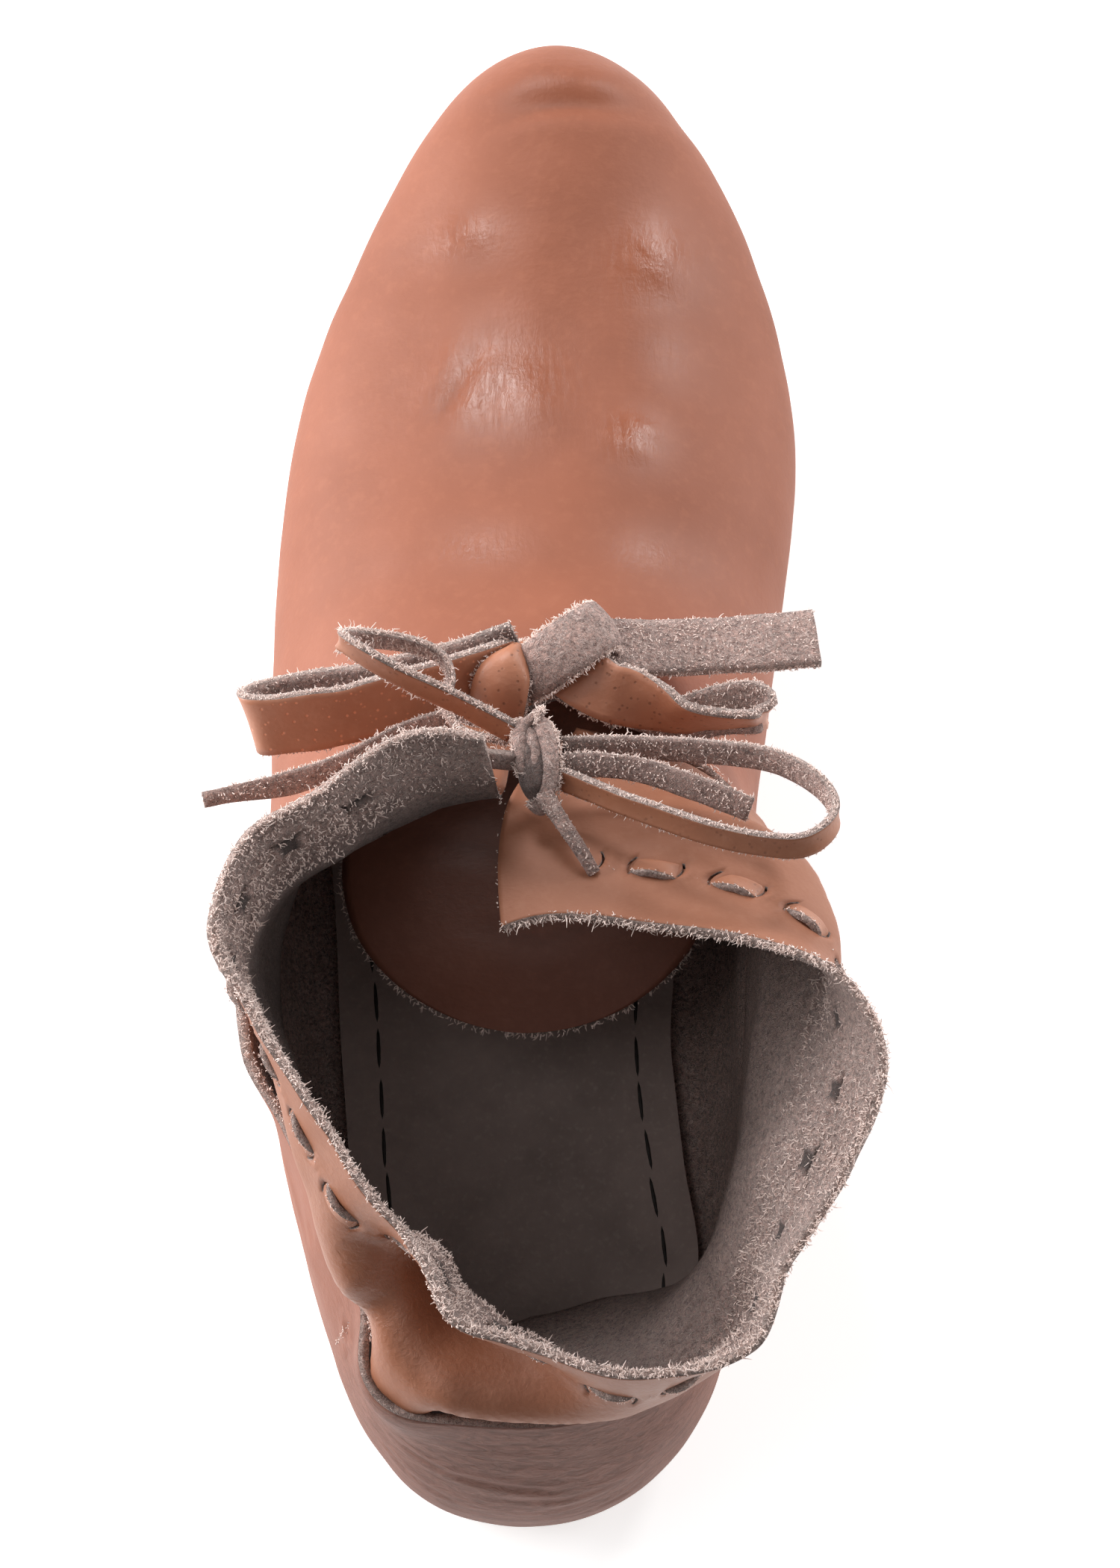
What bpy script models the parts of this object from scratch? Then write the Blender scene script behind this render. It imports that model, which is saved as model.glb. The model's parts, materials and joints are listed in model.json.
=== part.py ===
"""Medieval ankle boot for the left foot.

A low shoe on a flat leather sole, with a slack ankle shaft sewn inside its top line, a round tongue,
a narrow thong woven through slots round the shaft, and a wider strap tied over the instep.
X points to the inner side of the foot, Y to the toe and Z up; tables and sizes are millimetres.
"""
import math

import bmesh
import bpy
import numpy as np
from mathutils import Vector

MM = 0.001

# Driving sizes
HEEL_Y = -144.0
TOE_Y = 144.0
HEEL_MID_X = -3.5
TOE_MID_X = 2.5
THROAT_Y = 3.0
TOE_SPRING = 6.0
SPRING_START_Y = 66.0
SOLE_THICKNESS = 5.0
UPPER_WALL = 2.0
SHAFT_WALL = 1.8
INSOLE_THICKNESS = 2.5
GAP = 0.4

# Rounding of the plan outline and of the toe's profile, and the blend from quarters to vamp
HEEL_ROUND = 40.0
TOE_ROUND = 45.0
THROAT_ROUND = 30.0
NOSE_ROUND = 24.0
SOLE_SCALE = 0.967
ARCH_RISE = 0.058
QUARTER_END_Y = -30.0
VAMP_START_Y = -6.0
BACK_LEAN = 12.0
BACK_LEAN_START_Y = -60.0
LASTING_MARGIN = 9.0

# The last: half widths at the sole, at the widest level and at the top line, left and right of the
# middle line, with the heights of the two upper levels and the lean of the wall at its top edge
LAST_COLUMNS = ("y", "sole_left", "sole_right", "left", "right", "bulge_z",
                "top_left", "top_right", "top_z", "lean")
LAST_ROWS = (
    (-144.0, 36.0, 36.0, 39.5, 39.5, 28.0, 37.0, 38.0, 62.0, -8.0),
    (-130.0, 33.5, 33.5, 36.0, 37.2, 28.0, 34.0, 36.0, 61.5, -10.0),
    (-115.0, 32.5, 32.5, 36.5, 37.0, 29.0, 31.0, 35.0, 60.5, -12.0),
    (-95.0, 33.0, 33.0, 41.5, 39.5, 30.0, 38.0, 40.0, 59.5, -6.0),
    (-76.0, 36.0, 30.0, 46.5, 39.5, 30.0, 46.0, 44.0, 59.5, 0.0),
    (-63.0, 37.3, 28.3, 48.3, 39.2, 30.0, 53.0, 45.7, 60.0, 5.0),
    (-50.0, 38.5, 27.0, 50.0, 39.0, 30.0, 54.5, 47.0, 60.5, 8.0),
    (-27.0, 40.0, 28.5, 51.0, 39.5, 28.0, 50.0, 46.5, 66.0, 2.0),
    (-8.0, 42.0, 32.0, 50.7, 40.8, 26.0, 33.0, 32.5, 74.0, -48.0),
    (3.0, 43.5, 34.5, 50.7, 42.0, 25.0, 28.0, 28.0, 75.5, -90.0),
    (30.0, 45.5, 40.5, 51.2, 44.6, 22.0, 0.0, 0.0, 62.0, -90.0),
    (60.0, 44.0, 43.5, 49.2, 47.4, 19.0, 0.0, 0.0, 50.0, -90.0),
    (84.0, 39.0, 39.5, 43.8, 43.9, 17.5, 0.0, 0.0, 43.0, -90.0),
    (102.0, 33.5, 34.0, 37.2, 38.5, 16.5, 0.0, 0.0, 38.5, -90.0),
    (114.0, 30.0, 31.0, 33.8, 35.0, 16.0, 0.0, 0.0, 36.0, -90.0),
    (126.0, 27.5, 28.5, 31.4, 32.6, 15.5, 0.0, 0.0, 33.5, -90.0),
    (144.0, 25.0, 25.0, 29.2, 29.2, 15.0, 0.0, 0.0, 31.0, -90.0),
)
LAST = np.array(LAST_ROWS)
QUARTER_STATIONS = 25
VAMP_STATIONS = 17
LOWER_WALL_STEPS = 4
UPPER_WALL_STEPS = 8

# The shaft: directions are clockwise from the toe round the ankle's axis, radii are of its outer face
ANKLE_X = 0.0
ANKLE_Y = -74.0
SHAFT_COLUMNS = ("base_dir", "edge_dir", "base_r", "base_z", "rim_r", "rim_z",
                 "fold_r", "fold_z", "edge_r", "edge_z")
SHAFT_ROWS = (
    (5.0, -16.0, 70.0, 71.0, 68.0, 78.0, 50.0, 91.0, 27.0, 98.0),
    (16.0, 14.0, 69.0, 68.0, 66.0, 77.0, 50.0, 92.0, 28.5, 101.0),
    (28.0, 28.0, 64.5, 61.0, 63.0, 74.5, 56.0, 90.0, 30.0, 102.5),
    (38.0, 40.0, 63.5, 54.0, 61.5, 72.0, 61.0, 87.0, 33.0, 103.0),
    (48.0, 49.0, 54.0, 51.0, 56.0, 71.0, 62.5, 87.0, 37.0, 104.0),
    (58.0, 58.0, 46.5, 50.0, 48.5, 70.0, 61.0, 88.0, 43.0, 105.0),
    (75.0, 75.0, 40.0, 48.0, 41.0, 69.0, 54.0, 89.0, 55.0, 107.0),
    (90.0, 90.0, 37.6, 47.0, 38.4, 68.0, 48.5, 88.0, 59.0, 106.0),
    (108.0, 108.0, 37.8, 43.0, 38.0, 66.0, 46.0, 86.0, 56.0, 103.0),
    (128.0, 128.0, 40.0, 34.0, 40.6, 62.0, 51.0, 82.0, 56.0, 99.0),
    (143.0, 143.0, 36.0, 29.0, 45.4, 62.0, 59.5, 75.0, 62.0, 95.0),
    (162.0, 162.0, 32.0, 28.0, 52.5, 62.5, 59.5, 72.0, 57.0, 92.0),
    (182.0, 182.0, 33.5, 28.0, 55.0, 62.5, 59.5, 71.0, 50.0, 92.0),
    (200.0, 200.0, 42.0, 33.0, 55.2, 62.5, 60.0, 71.5, 46.5, 93.0),
    (214.0, 214.0, 48.0, 42.0, 50.8, 62.0, 54.5, 73.0, 39.5, 95.0),
    (230.0, 230.0, 45.4, 46.0, 42.8, 61.0, 49.5, 74.0, 38.7, 98.0),
    (248.0, 248.0, 43.5, 47.0, 41.6, 61.0, 46.0, 76.0, 39.5, 101.0),
    (264.0, 264.0, 44.6, 47.0, 43.4, 62.0, 46.5, 80.0, 44.0, 104.5),
    (278.0, 278.0, 48.0, 48.0, 47.0, 63.0, 50.0, 84.0, 52.0, 108.0),
    (292.0, 292.0, 54.0, 48.0, 54.0, 64.0, 56.0, 86.0, 63.5, 111.0),
    (306.0, 306.0, 61.0, 50.0, 60.0, 67.0, 53.0, 86.0, 65.7, 112.0),
    (320.0, 320.0, 66.0, 56.0, 63.0, 71.0, 48.5, 86.0, 62.0, 112.0),
    (336.0, 336.0, 66.5, 66.0, 64.5, 75.0, 47.5, 87.0, 63.0, 112.0),
    (357.0, 351.0, 70.0, 71.0, 67.0, 78.0, 50.0, 88.0, 59.0, 109.0),
)
SHAFT = np.array(SHAFT_ROWS)
SHAFT_LEVELS = ("base", "rim", "fold", "edge")
SHAFT_BODY_ROWS = 6
SHAFT_SAMPLES = 65
SEAT_EASE = np.array([0.4, 0.4, 0.0, 0.0])
FOLD_TURN = 0.6

# Slots round the shaft and the thong that is woven through them
SLOT_FROM_EDGE = 12.0
SLOT_TALL = 6.4
SLOT_LONG = 5.2
BAR_LONG = 4.0
SLOT_PERIOD = 16.0
FIRST_SLOT = 13.0
KNOT_SIDE = ((5.6, 21.6), (9.0, 17.0))
KNOT_RISE = 1.8
KNOT_SHORT = 2.0
KNOT_LEFT = (-5.7, -16.6, 97.4)
THONG_WIDE = 4.6
THONG_THICK = 1.5
THONG_CLEAR = 0.9
STRAP_WIDE = 11.5
STRAP_THICK = 1.8

# The tongue: centre height, half width and the drop of its sides, from under the vamp to its round end
TONGUE_COLUMNS = ("y", "z", "half", "drop")
TONGUE_ROWS = (
    (20.0, 64.2, 22.0, 6.0),
    (6.0, 67.0, 25.0, 8.0),
    (-8.0, 66.5, 28.0, 9.0),
    (-24.0, 63.5, 34.0, 11.0),
    (-40.0, 56.0, 34.5, 9.0),
    (-56.0, 45.0, 34.0, 5.0),
)
TONGUE = np.array(TONGUE_ROWS)
TONGUE_THICK = 1.8
TONGUE_MID_X = -3.0
TONGUE_ROUND = 30.0

# Routes of the two bows, with the direction of each strip's width along the way
KNOTS = {
    "thong_knot": ((-1.0, -17.0, 97.0), (7.5, 16.0, 9.0), 0.0),
    "strap_knot": ((4.0, 7.5, 82.4), (16.0, 12.0, 7.6), 35.0),
}
THONG_ROUTES = {
    "thong_loop_right": (
        ((3.4, -15.2, 99), (16, -14.8, 98), (30, -15.6, 98), (41, -17.4, 99), (49, -22.4, 102),
         (52.3, -28.6, 106), (50.7, -33.5, 109), (45, -36.6, 110), (36, -35.8, 110), (27, -33.3, 109),
         (16, -28.6, 106), (4.2, -22.4, 101)),
        ((0, 0.7, 0.7),)),
    "thong_loop_left": (
        ((-5.4, -13.3, 99.5), (-16.5, -6.3, 104), (-27.5, -1.9, 108), (-33.5, 1, 108.5),
         (-36.6, 3, 106), (-33, 5.1, 102), (-25, 5.6, 98.5), (-18.5, 3.1, 96.5), (-16, -1.5, 95.5),
         (-15, -7.5, 95), (-6, -11.5, 95)),
        ((0.1, -0.4, 0.9), (0.1, 0.3, 0.95), (0.1, -0.5, 0.85))),
    "thong_end_right": (
        ((3.0, -18.8, 99.5), (10, -18.8, 100.6), (18, -20, 101), (27, -23, 101), (37, -27.1, 101)),
        ((0.2, 0.8, 0.55),)),
    "thong_end_left": (
        ((-3, -8, 94.5), (-12, -6, 88.5), (-24, -9.5, 88), (-36, -15.5, 88.5), (-46, -19.4, 89.5),
         (-54, -21.2, 90), (-61, -22.7, 90)),
        ((0.1, 0.6, 0.8), (0, 0.9, 0.4))),
}
STRAP_ROUTES = {
    "strap_loop_left": (
        ((-5.5, 11, 84.5), (-14, 9.3, 83), (-26, 4.5, 80.5), (-38, 1, 79), (-48, -1.5, 78.5),
         (-53.6, -4.5, 81), (-51.5, -7.8, 85.5), (-40, -7, 87), (-27, -4, 87.5), (-15, 1.5, 88),
         (-6.5, 4.8, 87.5)),
        ((0, 0.83, 0.56),)),
    "strap_loop_right": (
        ((15.4, 10.5, 86.5), (22, 6, 84.5), (31, 1, 81), (38, -2.5, 80.5), (40, -5, 83), (36, -7, 86),
         (26, -6, 88.5), (18, -2.5, 89.5), (12.5, 1, 89.5)),
        ((0, 0.83, 0.56), (0.2, 0.6, 0.75), (0.3, 0.8, 0.5))),
    "strap_end_right": (
        ((13, 14, 80.5), (20, 12.8, 77), (28, 11.5, 75), (38, 10.5, 74), (49.5, 11.5, 74)),
        ((0, 0.97, 0.24),)),
}
STRAP_POINTS = ((-13, -3, 78.6), (-6, 2.5, 77.8), (3, 5.5, 76.9), (10, 3, 77.6), (16, -2, 78.4))
STRAP_ACROSS = ((0.65, -0.75, 0), (0.3, -0.95, 0), (0, -1, 0), (-0.3, -0.95, 0), (-0.65, -0.75, 0))

# Colours of the finishes
GRAIN_BROWN = (0.42, 0.17, 0.09)
SOLE_TAN = (0.30, 0.17, 0.10)
INSOLE_GREY = (0.17, 0.13, 0.11)
THONG_BROWN = (0.38, 0.17, 0.09)


def smooth(xs, ys, x):
    """Cubic through a table's rows that never overshoots between two of them."""
    step = np.diff(xs)
    slope = np.diff(ys) / step
    tangent = np.concatenate([slope[:1], np.zeros(len(slope) - 1), slope[-1:]])
    before, after = slope[:-1], slope[1:]
    same = before * after > 0
    tangent[1:-1][same] = (2 * before * after)[same] / (before + after)[same]
    k = np.clip(np.searchsorted(xs, x, side="right") - 1, 0, len(step) - 1)
    t = (x - xs[k]) / step[k]
    rise = t * t * (3 - 2 * t)
    curve = t * (1 - t) ** 2 * tangent[k] + t * t * (t - 1) * tangent[k + 1]
    return ys[k] + rise * (ys[k + 1] - ys[k]) + step[k] * curve


def last(column, y):
    return float(smooth(LAST[:, 0], LAST[:, LAST_COLUMNS.index(column)], y))


def shaft(column, direction):
    edge = SHAFT_COLUMNS.index("edge_dir")
    return float(smooth(SHAFT[:, edge], SHAFT[:, SHAFT_COLUMNS.index(column)], direction))


def tongue(column, y):
    return float(smooth(-TONGUE[:, 0], TONGUE[:, TONGUE_COLUMNS.index(column)], -y))


def rounding(distance, reach):
    """From 0 at a round end to 1 a reach away from it, along an ellipse."""
    away = min(max(1 - distance / reach, 0.0), 1.0)
    return math.sqrt(1 - away * away)


def round_ends(y):
    return rounding(y - HEEL_Y, HEEL_ROUND) * rounding(TOE_Y - y, TOE_ROUND)


def middle(y):
    return HEEL_MID_X + (TOE_MID_X - HEEL_MID_X) * (y - HEEL_Y) / (TOE_Y - HEEL_Y)


def spring(y):
    """Lift of the sole towards the toe."""
    return TOE_SPRING * max((y - SPRING_START_Y) / (TOE_Y - SPRING_START_Y), 0.0) ** 2


def sole_edge(y, side):
    half = last("sole_right" if side > 0 else "sole_left", y) * round_ends(y)
    return np.array([middle(y) + side * half, y * SOLE_SCALE, spring(y)])


def inset_edge(y, side, inset):
    """The sole's edge at a station, moved inwards in plan."""
    edge = sole_edge(y, side)
    nudge = 0.5
    if y - nudge < HEEL_Y:
        inward = np.array([0.0, 1.0, 0.0])
    elif y + nudge > TOE_Y:
        inward = np.array([0.0, -1.0, 0.0])
    else:
        along = sole_edge(y + nudge, side) - sole_edge(y - nudge, side)
        inward = np.array([-along[1], along[0], 0.0]) * side
        inward /= np.linalg.norm(inward)
    moved = edge + inset * inward
    moved[2] = spring(moved[1] / SOLE_SCALE)
    return moved


def bezier(points, s):
    a, b, c, d = points
    return (1 - s) ** 3 * a + 3 * s * (1 - s) ** 2 * b + 3 * s * s * (1 - s) * c + s ** 3 * d


def wall_levels(y, side):
    """Feather edge, widest level and top edge of the low shoe at a station."""
    name = "right" if side > 0 else "left"
    rise = spring(y)
    feather = sole_edge(y, side) + np.array([0.0, 0.0, SOLE_THICKNESS + GAP])
    bulge_z = rise + last("bulge_z", y)
    bulge = np.array([middle(y) + side * last(name, y) * round_ends(y), y, bulge_z])
    if y < THROAT_Y:
        half = last("top_" + name, y)
        half *= rounding(y - HEEL_Y, HEEL_ROUND) * rounding(THROAT_Y - y, THROAT_ROUND)
    else:
        half = 0.0
    lean_in = max((BACK_LEAN_START_Y - y) / (BACK_LEAN_START_Y - HEEL_Y), 0.0) ** 2
    crown = rise + last("top_z", y)
    top_z = bulge_z + (crown - bulge_z) * rounding(TOE_Y - y, NOSE_ROUND)
    top = np.array([middle(y) + side * half, y + BACK_LEAN * lean_in, top_z])
    return feather, bulge, top


def lower_wall(y, side, s):
    feather, bulge, _ = wall_levels(y, side)
    leave = feather + np.array([0.6, 0.6, 0.06]) * (bulge - feather)
    arrive = bulge - np.array([0.0, 0.0, 0.5 * (bulge - feather)[2]])
    return bezier((feather, leave, arrive, bulge), s)


def quarter_wall(y, side, s):
    """Upright wall from the widest level to the top line."""
    _, bulge, top = wall_levels(y, side)
    span = top - bulge
    lean = math.radians(last("lean", y))
    reach = 0.5 * float(np.linalg.norm(span))
    leave = bulge + np.array([0.0, 0.15, 0.45]) * span
    tilt = side * math.sin(lean) * rounding(y - HEEL_Y, HEEL_ROUND)
    arrive = top - np.array([tilt * reach, 0.5 * span[1], math.cos(lean) * reach])
    return bezier((bulge, leave, arrive, top), s)


def vamp_wall(y, side, s):
    """Arch over the instep from the widest level to its crown, cut back where the throat is open."""
    _, bulge, top = wall_levels(y, side)
    crown = np.array([middle(y), y, top[2] + ARCH_RISE * max(THROAT_Y - y, 0.0) ** 2])
    span = crown - bulge
    leave = bulge + np.array([0.0, 0.0, 0.45]) * span
    arrive = crown + np.array([side * 0.5 * float(np.linalg.norm(span)), 0.0, 0.0])
    steps = np.linspace(0, 1, 101)
    widths = [side * bezier((bulge, leave, arrive, crown), t)[0] for t in steps[::-1]]
    cut = float(np.interp(side * top[0], widths, steps[::-1]))
    return bezier((bulge, leave, arrive, crown), s * cut)


def upper_wall(y, side, s):
    t = min(max((y - QUARTER_END_Y) / (VAMP_START_Y - QUARTER_END_Y), 0.0), 1.0)
    vamp_share = t * t * (3 - 2 * t)
    if vamp_share == 0.0:
        return quarter_wall(y, side, s)
    return (1 - vamp_share) * quarter_wall(y, side, s) + vamp_share * vamp_wall(y, side, s)


def off_wall(y, side, s, outward):
    """A point off the low shoe's outer face, along the face's normal."""
    nudge = 0.01
    low, high = max(s - nudge, 0.0), min(s + nudge, 1.0)
    along = upper_wall(y + 0.2, side, s) - upper_wall(y - 0.2, side, s)
    up = upper_wall(y, side, high) - upper_wall(y, side, low)
    normal = np.cross(along, up) * side
    return upper_wall(y, side, s) + outward * normal / np.linalg.norm(normal)


def finish(name, colour, roughness):
    material = bpy.data.materials.new(name)
    material.use_nodes = True
    shader = material.node_tree.nodes["Principled BSDF"]
    shader.inputs["Base Color"].default_value = (*colour, 1.0)
    shader.inputs["Roughness"].default_value = roughness
    return material


def add_object(name, bm, material):
    mesh = bpy.data.meshes.new(name)
    bm.to_mesh(mesh)
    bm.free()
    mesh.shade_smooth()
    mesh.materials.append(material)
    thing = bpy.data.objects.new(name, mesh)
    bpy.context.collection.objects.link(thing)
    return thing


def add_grid(bm, grid, flip=False, skip=()):
    """Quads between rows of points, leaving out the cells in skip."""
    verts = [[bm.verts.new(Vector(point) * MM) for point in row] for row in grid]
    for i in range(len(verts) - 1):
        for j in range(len(verts[0]) - 1):
            if (i, j) in skip:
                continue
            corners = [verts[i][j], verts[i + 1][j], verts[i + 1][j + 1], verts[i][j + 1]]
            bm.faces.new(corners[::-1] if flip else corners)
    return verts


def merge(bm):
    bmesh.ops.remove_doubles(bm, verts=bm.verts, dist=0.01 * MM)
    loose = [v for v in bm.verts if not v.link_faces]
    bmesh.ops.delete(bm, geom=loose, context="VERTS")


def add_wall(thing, thickness):
    """Give a sheet its thickness, behind its face."""
    wall = thing.modifiers.new("wall", "SOLIDIFY")
    wall.thickness = thickness * MM
    wall.offset = -1.0
    wall.use_even_offset = True
    wall.use_quality_normals = True


def stations():
    """Sections from heel to toe, closer together at the heel, the throat and the toe."""
    quarters = [0.5 - 0.5 * math.cos(math.pi * k / QUARTER_STATIONS) for k in range(QUARTER_STATIONS)]
    vamp = [math.sin(0.5 * math.pi * k / VAMP_STATIONS) for k in range(VAMP_STATIONS + 1)]
    return ([HEEL_Y + (THROAT_Y - HEEL_Y) * t for t in quarters]
            + [THROAT_Y + (TOE_Y - THROAT_Y) * t for t in vamp])


def add_sole_slab(name, inset, low, high, chamfer, material):
    """A flat piece with the sole's outline, from heel to toe."""
    bm = bmesh.new()
    rings = []
    for y in stations():
        ring = []
        for side in (-1, 1):
            rim = inset_edge(y, side, inset)
            under = inset_edge(y, side, inset + chamfer)
            levels = [under + (0, 0, low), rim + (0, 0, low + chamfer), rim + (0, 0, high)]
            ring += levels if side < 0 else levels[::-1]
        rings.append(ring + ring[:1])
    add_grid(bm, rings)
    merge(bm)
    bmesh.ops.recalc_face_normals(bm, faces=bm.faces)
    return add_object(name, bm, material)


def add_upper(material):
    bm = bmesh.new()
    margin_z = np.array([0.0, 0.0, SOLE_THICKNESS + GAP])
    for side in (-1, 1):
        grid = []
        for y in stations():
            row = [inset_edge(y, side, LASTING_MARGIN) + margin_z]
            row += [lower_wall(y, side, k / LOWER_WALL_STEPS) for k in range(LOWER_WALL_STEPS)]
            row += [upper_wall(y, side, k / UPPER_WALL_STEPS) for k in range(UPPER_WALL_STEPS + 1)]
            grid.append(row)
        add_grid(bm, grid, flip=side < 0)
    merge(bm)
    thing = add_object("upper", bm, material)
    add_wall(thing, UPPER_WALL)
    return thing


def around(direction, radius, z):
    turn = math.radians(direction)
    return np.array([ANKLE_X + radius * math.sin(turn), ANKLE_Y + radius * math.cos(turn), z])


def through(points, samples):
    """Smooth curve through points given by hand."""
    points = np.array(points, float)
    ends = np.vstack([2 * points[0] - points[1], points, 2 * points[-1] - points[-2]])
    curve = []
    for t in np.linspace(0, len(points) - 1, samples):
        k = min(int(t), len(points) - 2)
        f = t - k
        a, b, c, d = ends[k:k + 4]
        curve.append(0.5 * (2 * b + (c - a) * f + (2 * a - 5 * b + 4 * c - d) * f * f
                            + (3 * b - a - 3 * c + d) * f ** 3))
    return np.array(curve)


def shaft_curve(direction):
    """One upright line of the shaft's outer face, from its sewn margin to its cut edge."""
    base = shaft("base_dir", direction)
    fold = base + FOLD_TURN * (direction - base)
    turns = np.array([base, base, fold, direction])
    radii = np.array([shaft(level + "_r", direction) for level in SHAFT_LEVELS]) - SEAT_EASE
    heights = np.array([shaft(level + "_z", direction) for level in SHAFT_LEVELS])
    run = np.concatenate([[0.0], np.cumsum(np.hypot(np.diff(radii), np.diff(heights)))])
    return np.array([around(*(smooth(run, column, t) for column in (turns, radii, heights)))
                     for t in np.linspace(0, run[-1], SHAFT_SAMPLES)])


def from_edge(curve, distances):
    """Points of an upright line at distances below the cut edge."""
    down = curve[::-1]
    run = np.concatenate([[0.0], np.cumsum(np.linalg.norm(np.diff(down, axis=0), axis=1))])
    body = np.linspace(0, 1, SHAFT_BODY_ROWS + 1)[1:]
    wanted = list(distances) + [distances[-1] + (run[-1] - distances[-1]) * t for t in body]
    return np.array([[np.interp(w, run, down[:, axis]) for axis in range(3)] for w in wanted])


class ShaftEdge:
    """The cut edge laid out flat: directions by distance from the right flap's corner."""

    def __init__(self):
        column = SHAFT_COLUMNS.index("edge_dir")
        self.turns = np.linspace(SHAFT[0, column], SHAFT[-1, column], 741)
        points = np.array([around(t, shaft("edge_r", t), shaft("edge_z", t)) for t in self.turns])
        self.runs = np.concatenate([[0.0], np.cumsum(np.linalg.norm(np.diff(points, axis=0), axis=1))])
        self.length = float(self.runs[-1])
        self.periods = int((self.length - 2 * FIRST_SLOT) // SLOT_PERIOD)

    def direction(self, run):
        return float(np.interp(run, self.runs, self.turns))


def add_shaft(edge, material):
    """Ankle wall with a slot on each side of every bar of the thong."""
    distances = (0.0, SLOT_FROM_EDGE - SLOT_TALL / 2, SLOT_FROM_EDGE + SLOT_TALL / 2)
    runs = [0.0, FIRST_SLOT / 2]
    skip = set()
    for period in range(edge.periods):
        start = FIRST_SLOT + period * SLOT_PERIOD
        first = len(runs)
        skip |= {(first, 1), (first + 3, 1)}
        middle_bar = SLOT_LONG + BAR_LONG / 2
        runs += [start, start + SLOT_LONG, start + middle_bar, start + SLOT_LONG + BAR_LONG,
                 start + 2 * SLOT_LONG + BAR_LONG]
    last_slot = runs[-1]
    runs += [last_slot + (edge.length - last_slot) * t for t in (0.35, 0.7, 1.0)]
    grid = [from_edge(shaft_curve(edge.direction(run)), distances) for run in runs]
    bm = bmesh.new()
    add_grid(bm, grid, skip=skip)
    thing = add_object("shaft", bm, material)
    add_wall(thing, SHAFT_WALL)
    return thing


def add_band(name, path, across, wide, thick, material):
    """Flat leather strip along a path; across is the direction of its width at every point."""
    path = np.array(path, float)
    across = np.array(across, float)
    along = np.gradient(path, axis=0)
    along /= np.linalg.norm(along, axis=1)[:, None]
    wide_dir = across - np.sum(across * along, axis=1)[:, None] * along
    wide_dir /= np.linalg.norm(wide_dir, axis=1)[:, None]
    face = np.cross(along, wide_dir)
    corners = ((-1, -1), (1, -1), (1, 1), (-1, 1), (-1, -1))
    rings = [[p + 0.5 * wide * u * w + 0.5 * thick * v * f for u, v in corners]
             for p, w, f in zip(path, wide_dir, face)]
    bm = bmesh.new()
    verts = add_grid(bm, rings)
    bm.faces.new(verts[0][:4])
    bm.faces.new(verts[-1][:4])
    merge(bm)
    bmesh.ops.recalc_face_normals(bm, faces=bm.faces)
    return add_object(name, bm, material)


def add_route(name, points, across, wide, thick, material, samples=20):
    """A strip through points by hand, its width turning evenly between directions given in order."""
    path = through(points, samples)
    columns = np.array(across, float)
    turn = np.linspace(0, len(across) - 1, samples)
    widths = np.stack([np.interp(turn, np.arange(len(across)), columns[:, k]) for k in range(3)], axis=1)
    return add_band(name, path, widths, wide, thick, material)


def add_knot(name, centre, size, turn, material):
    """Rounded block of a drawn-up knot."""
    bm = bmesh.new()
    bmesh.ops.create_uvsphere(bm, u_segments=14, v_segments=9, radius=0.5)
    spin = math.radians(turn)
    for v in bm.verts:
        x, y, z = (math.copysign(abs(2 * c) ** 0.7, c) * s / 2 for c, s in zip(v.co, size))
        v.co = Vector((x * math.cos(spin) - y * math.sin(spin), x * math.sin(spin) + y * math.cos(spin), z))
        v.co = (v.co + Vector(centre)) * MM
    return add_object(name, bm, material)


def off_shaft(edge, run, down, off):
    """A point off the shaft's outer face, below its cut edge, and the upward direction there."""
    reach = 2.0
    levels = (down - reach, down, down + reach)
    upper_edge, here, lower_edge = from_edge(shaft_curve(edge.direction(run)), levels)[:3]
    tangent = from_edge(shaft_curve(edge.direction(run + 0.5)), (down,))[0] - here
    up = upper_edge - lower_edge
    normal = np.cross(up, tangent)
    return here + off * normal / np.linalg.norm(normal), up


def thong_path(edge):
    """Weave of the thong, from its knot through the slots round the shaft and back."""
    outside = THONG_CLEAR + THONG_THICK / 2
    inside = -(SHAFT_WALL + THONG_CLEAR + THONG_THICK / 2)
    through_wall = -SHAFT_WALL / 2
    slip = 0.2
    steps = [(run, down, KNOT_RISE) for run, down in KNOT_SIDE]
    for period in range(edge.periods):
        start = FIRST_SLOT + period * SLOT_PERIOD
        far = start + 2 * SLOT_LONG + BAR_LONG
        weave = [(start + slip, inside), (start + SLOT_LONG / 2, through_wall),
                 (start + SLOT_LONG - slip, outside), (start + SLOT_LONG + BAR_LONG / 2, outside),
                 (far - SLOT_LONG + slip, outside), (far - SLOT_LONG / 2, through_wall), (far - slip, inside)]
        if period == 0:
            weave = weave[2:]
        if period == edge.periods - 1:
            weave = weave[:-2]
        steps += [(run, SLOT_FROM_EDGE, off) for run, off in weave]
    last_bar = steps[-1][0]
    run_up = np.linspace(last_bar, edge.length - KNOT_SHORT, 5)[1:]
    steps += [(run, SLOT_FROM_EDGE, outside) for run in run_up]
    placed = [off_shaft(edge, *step) for step in steps]
    path = [place for place, _ in placed] + [np.array(KNOT_LEFT)]
    across = [up for _, up in placed]
    return path, across + across[-1:]


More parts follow.
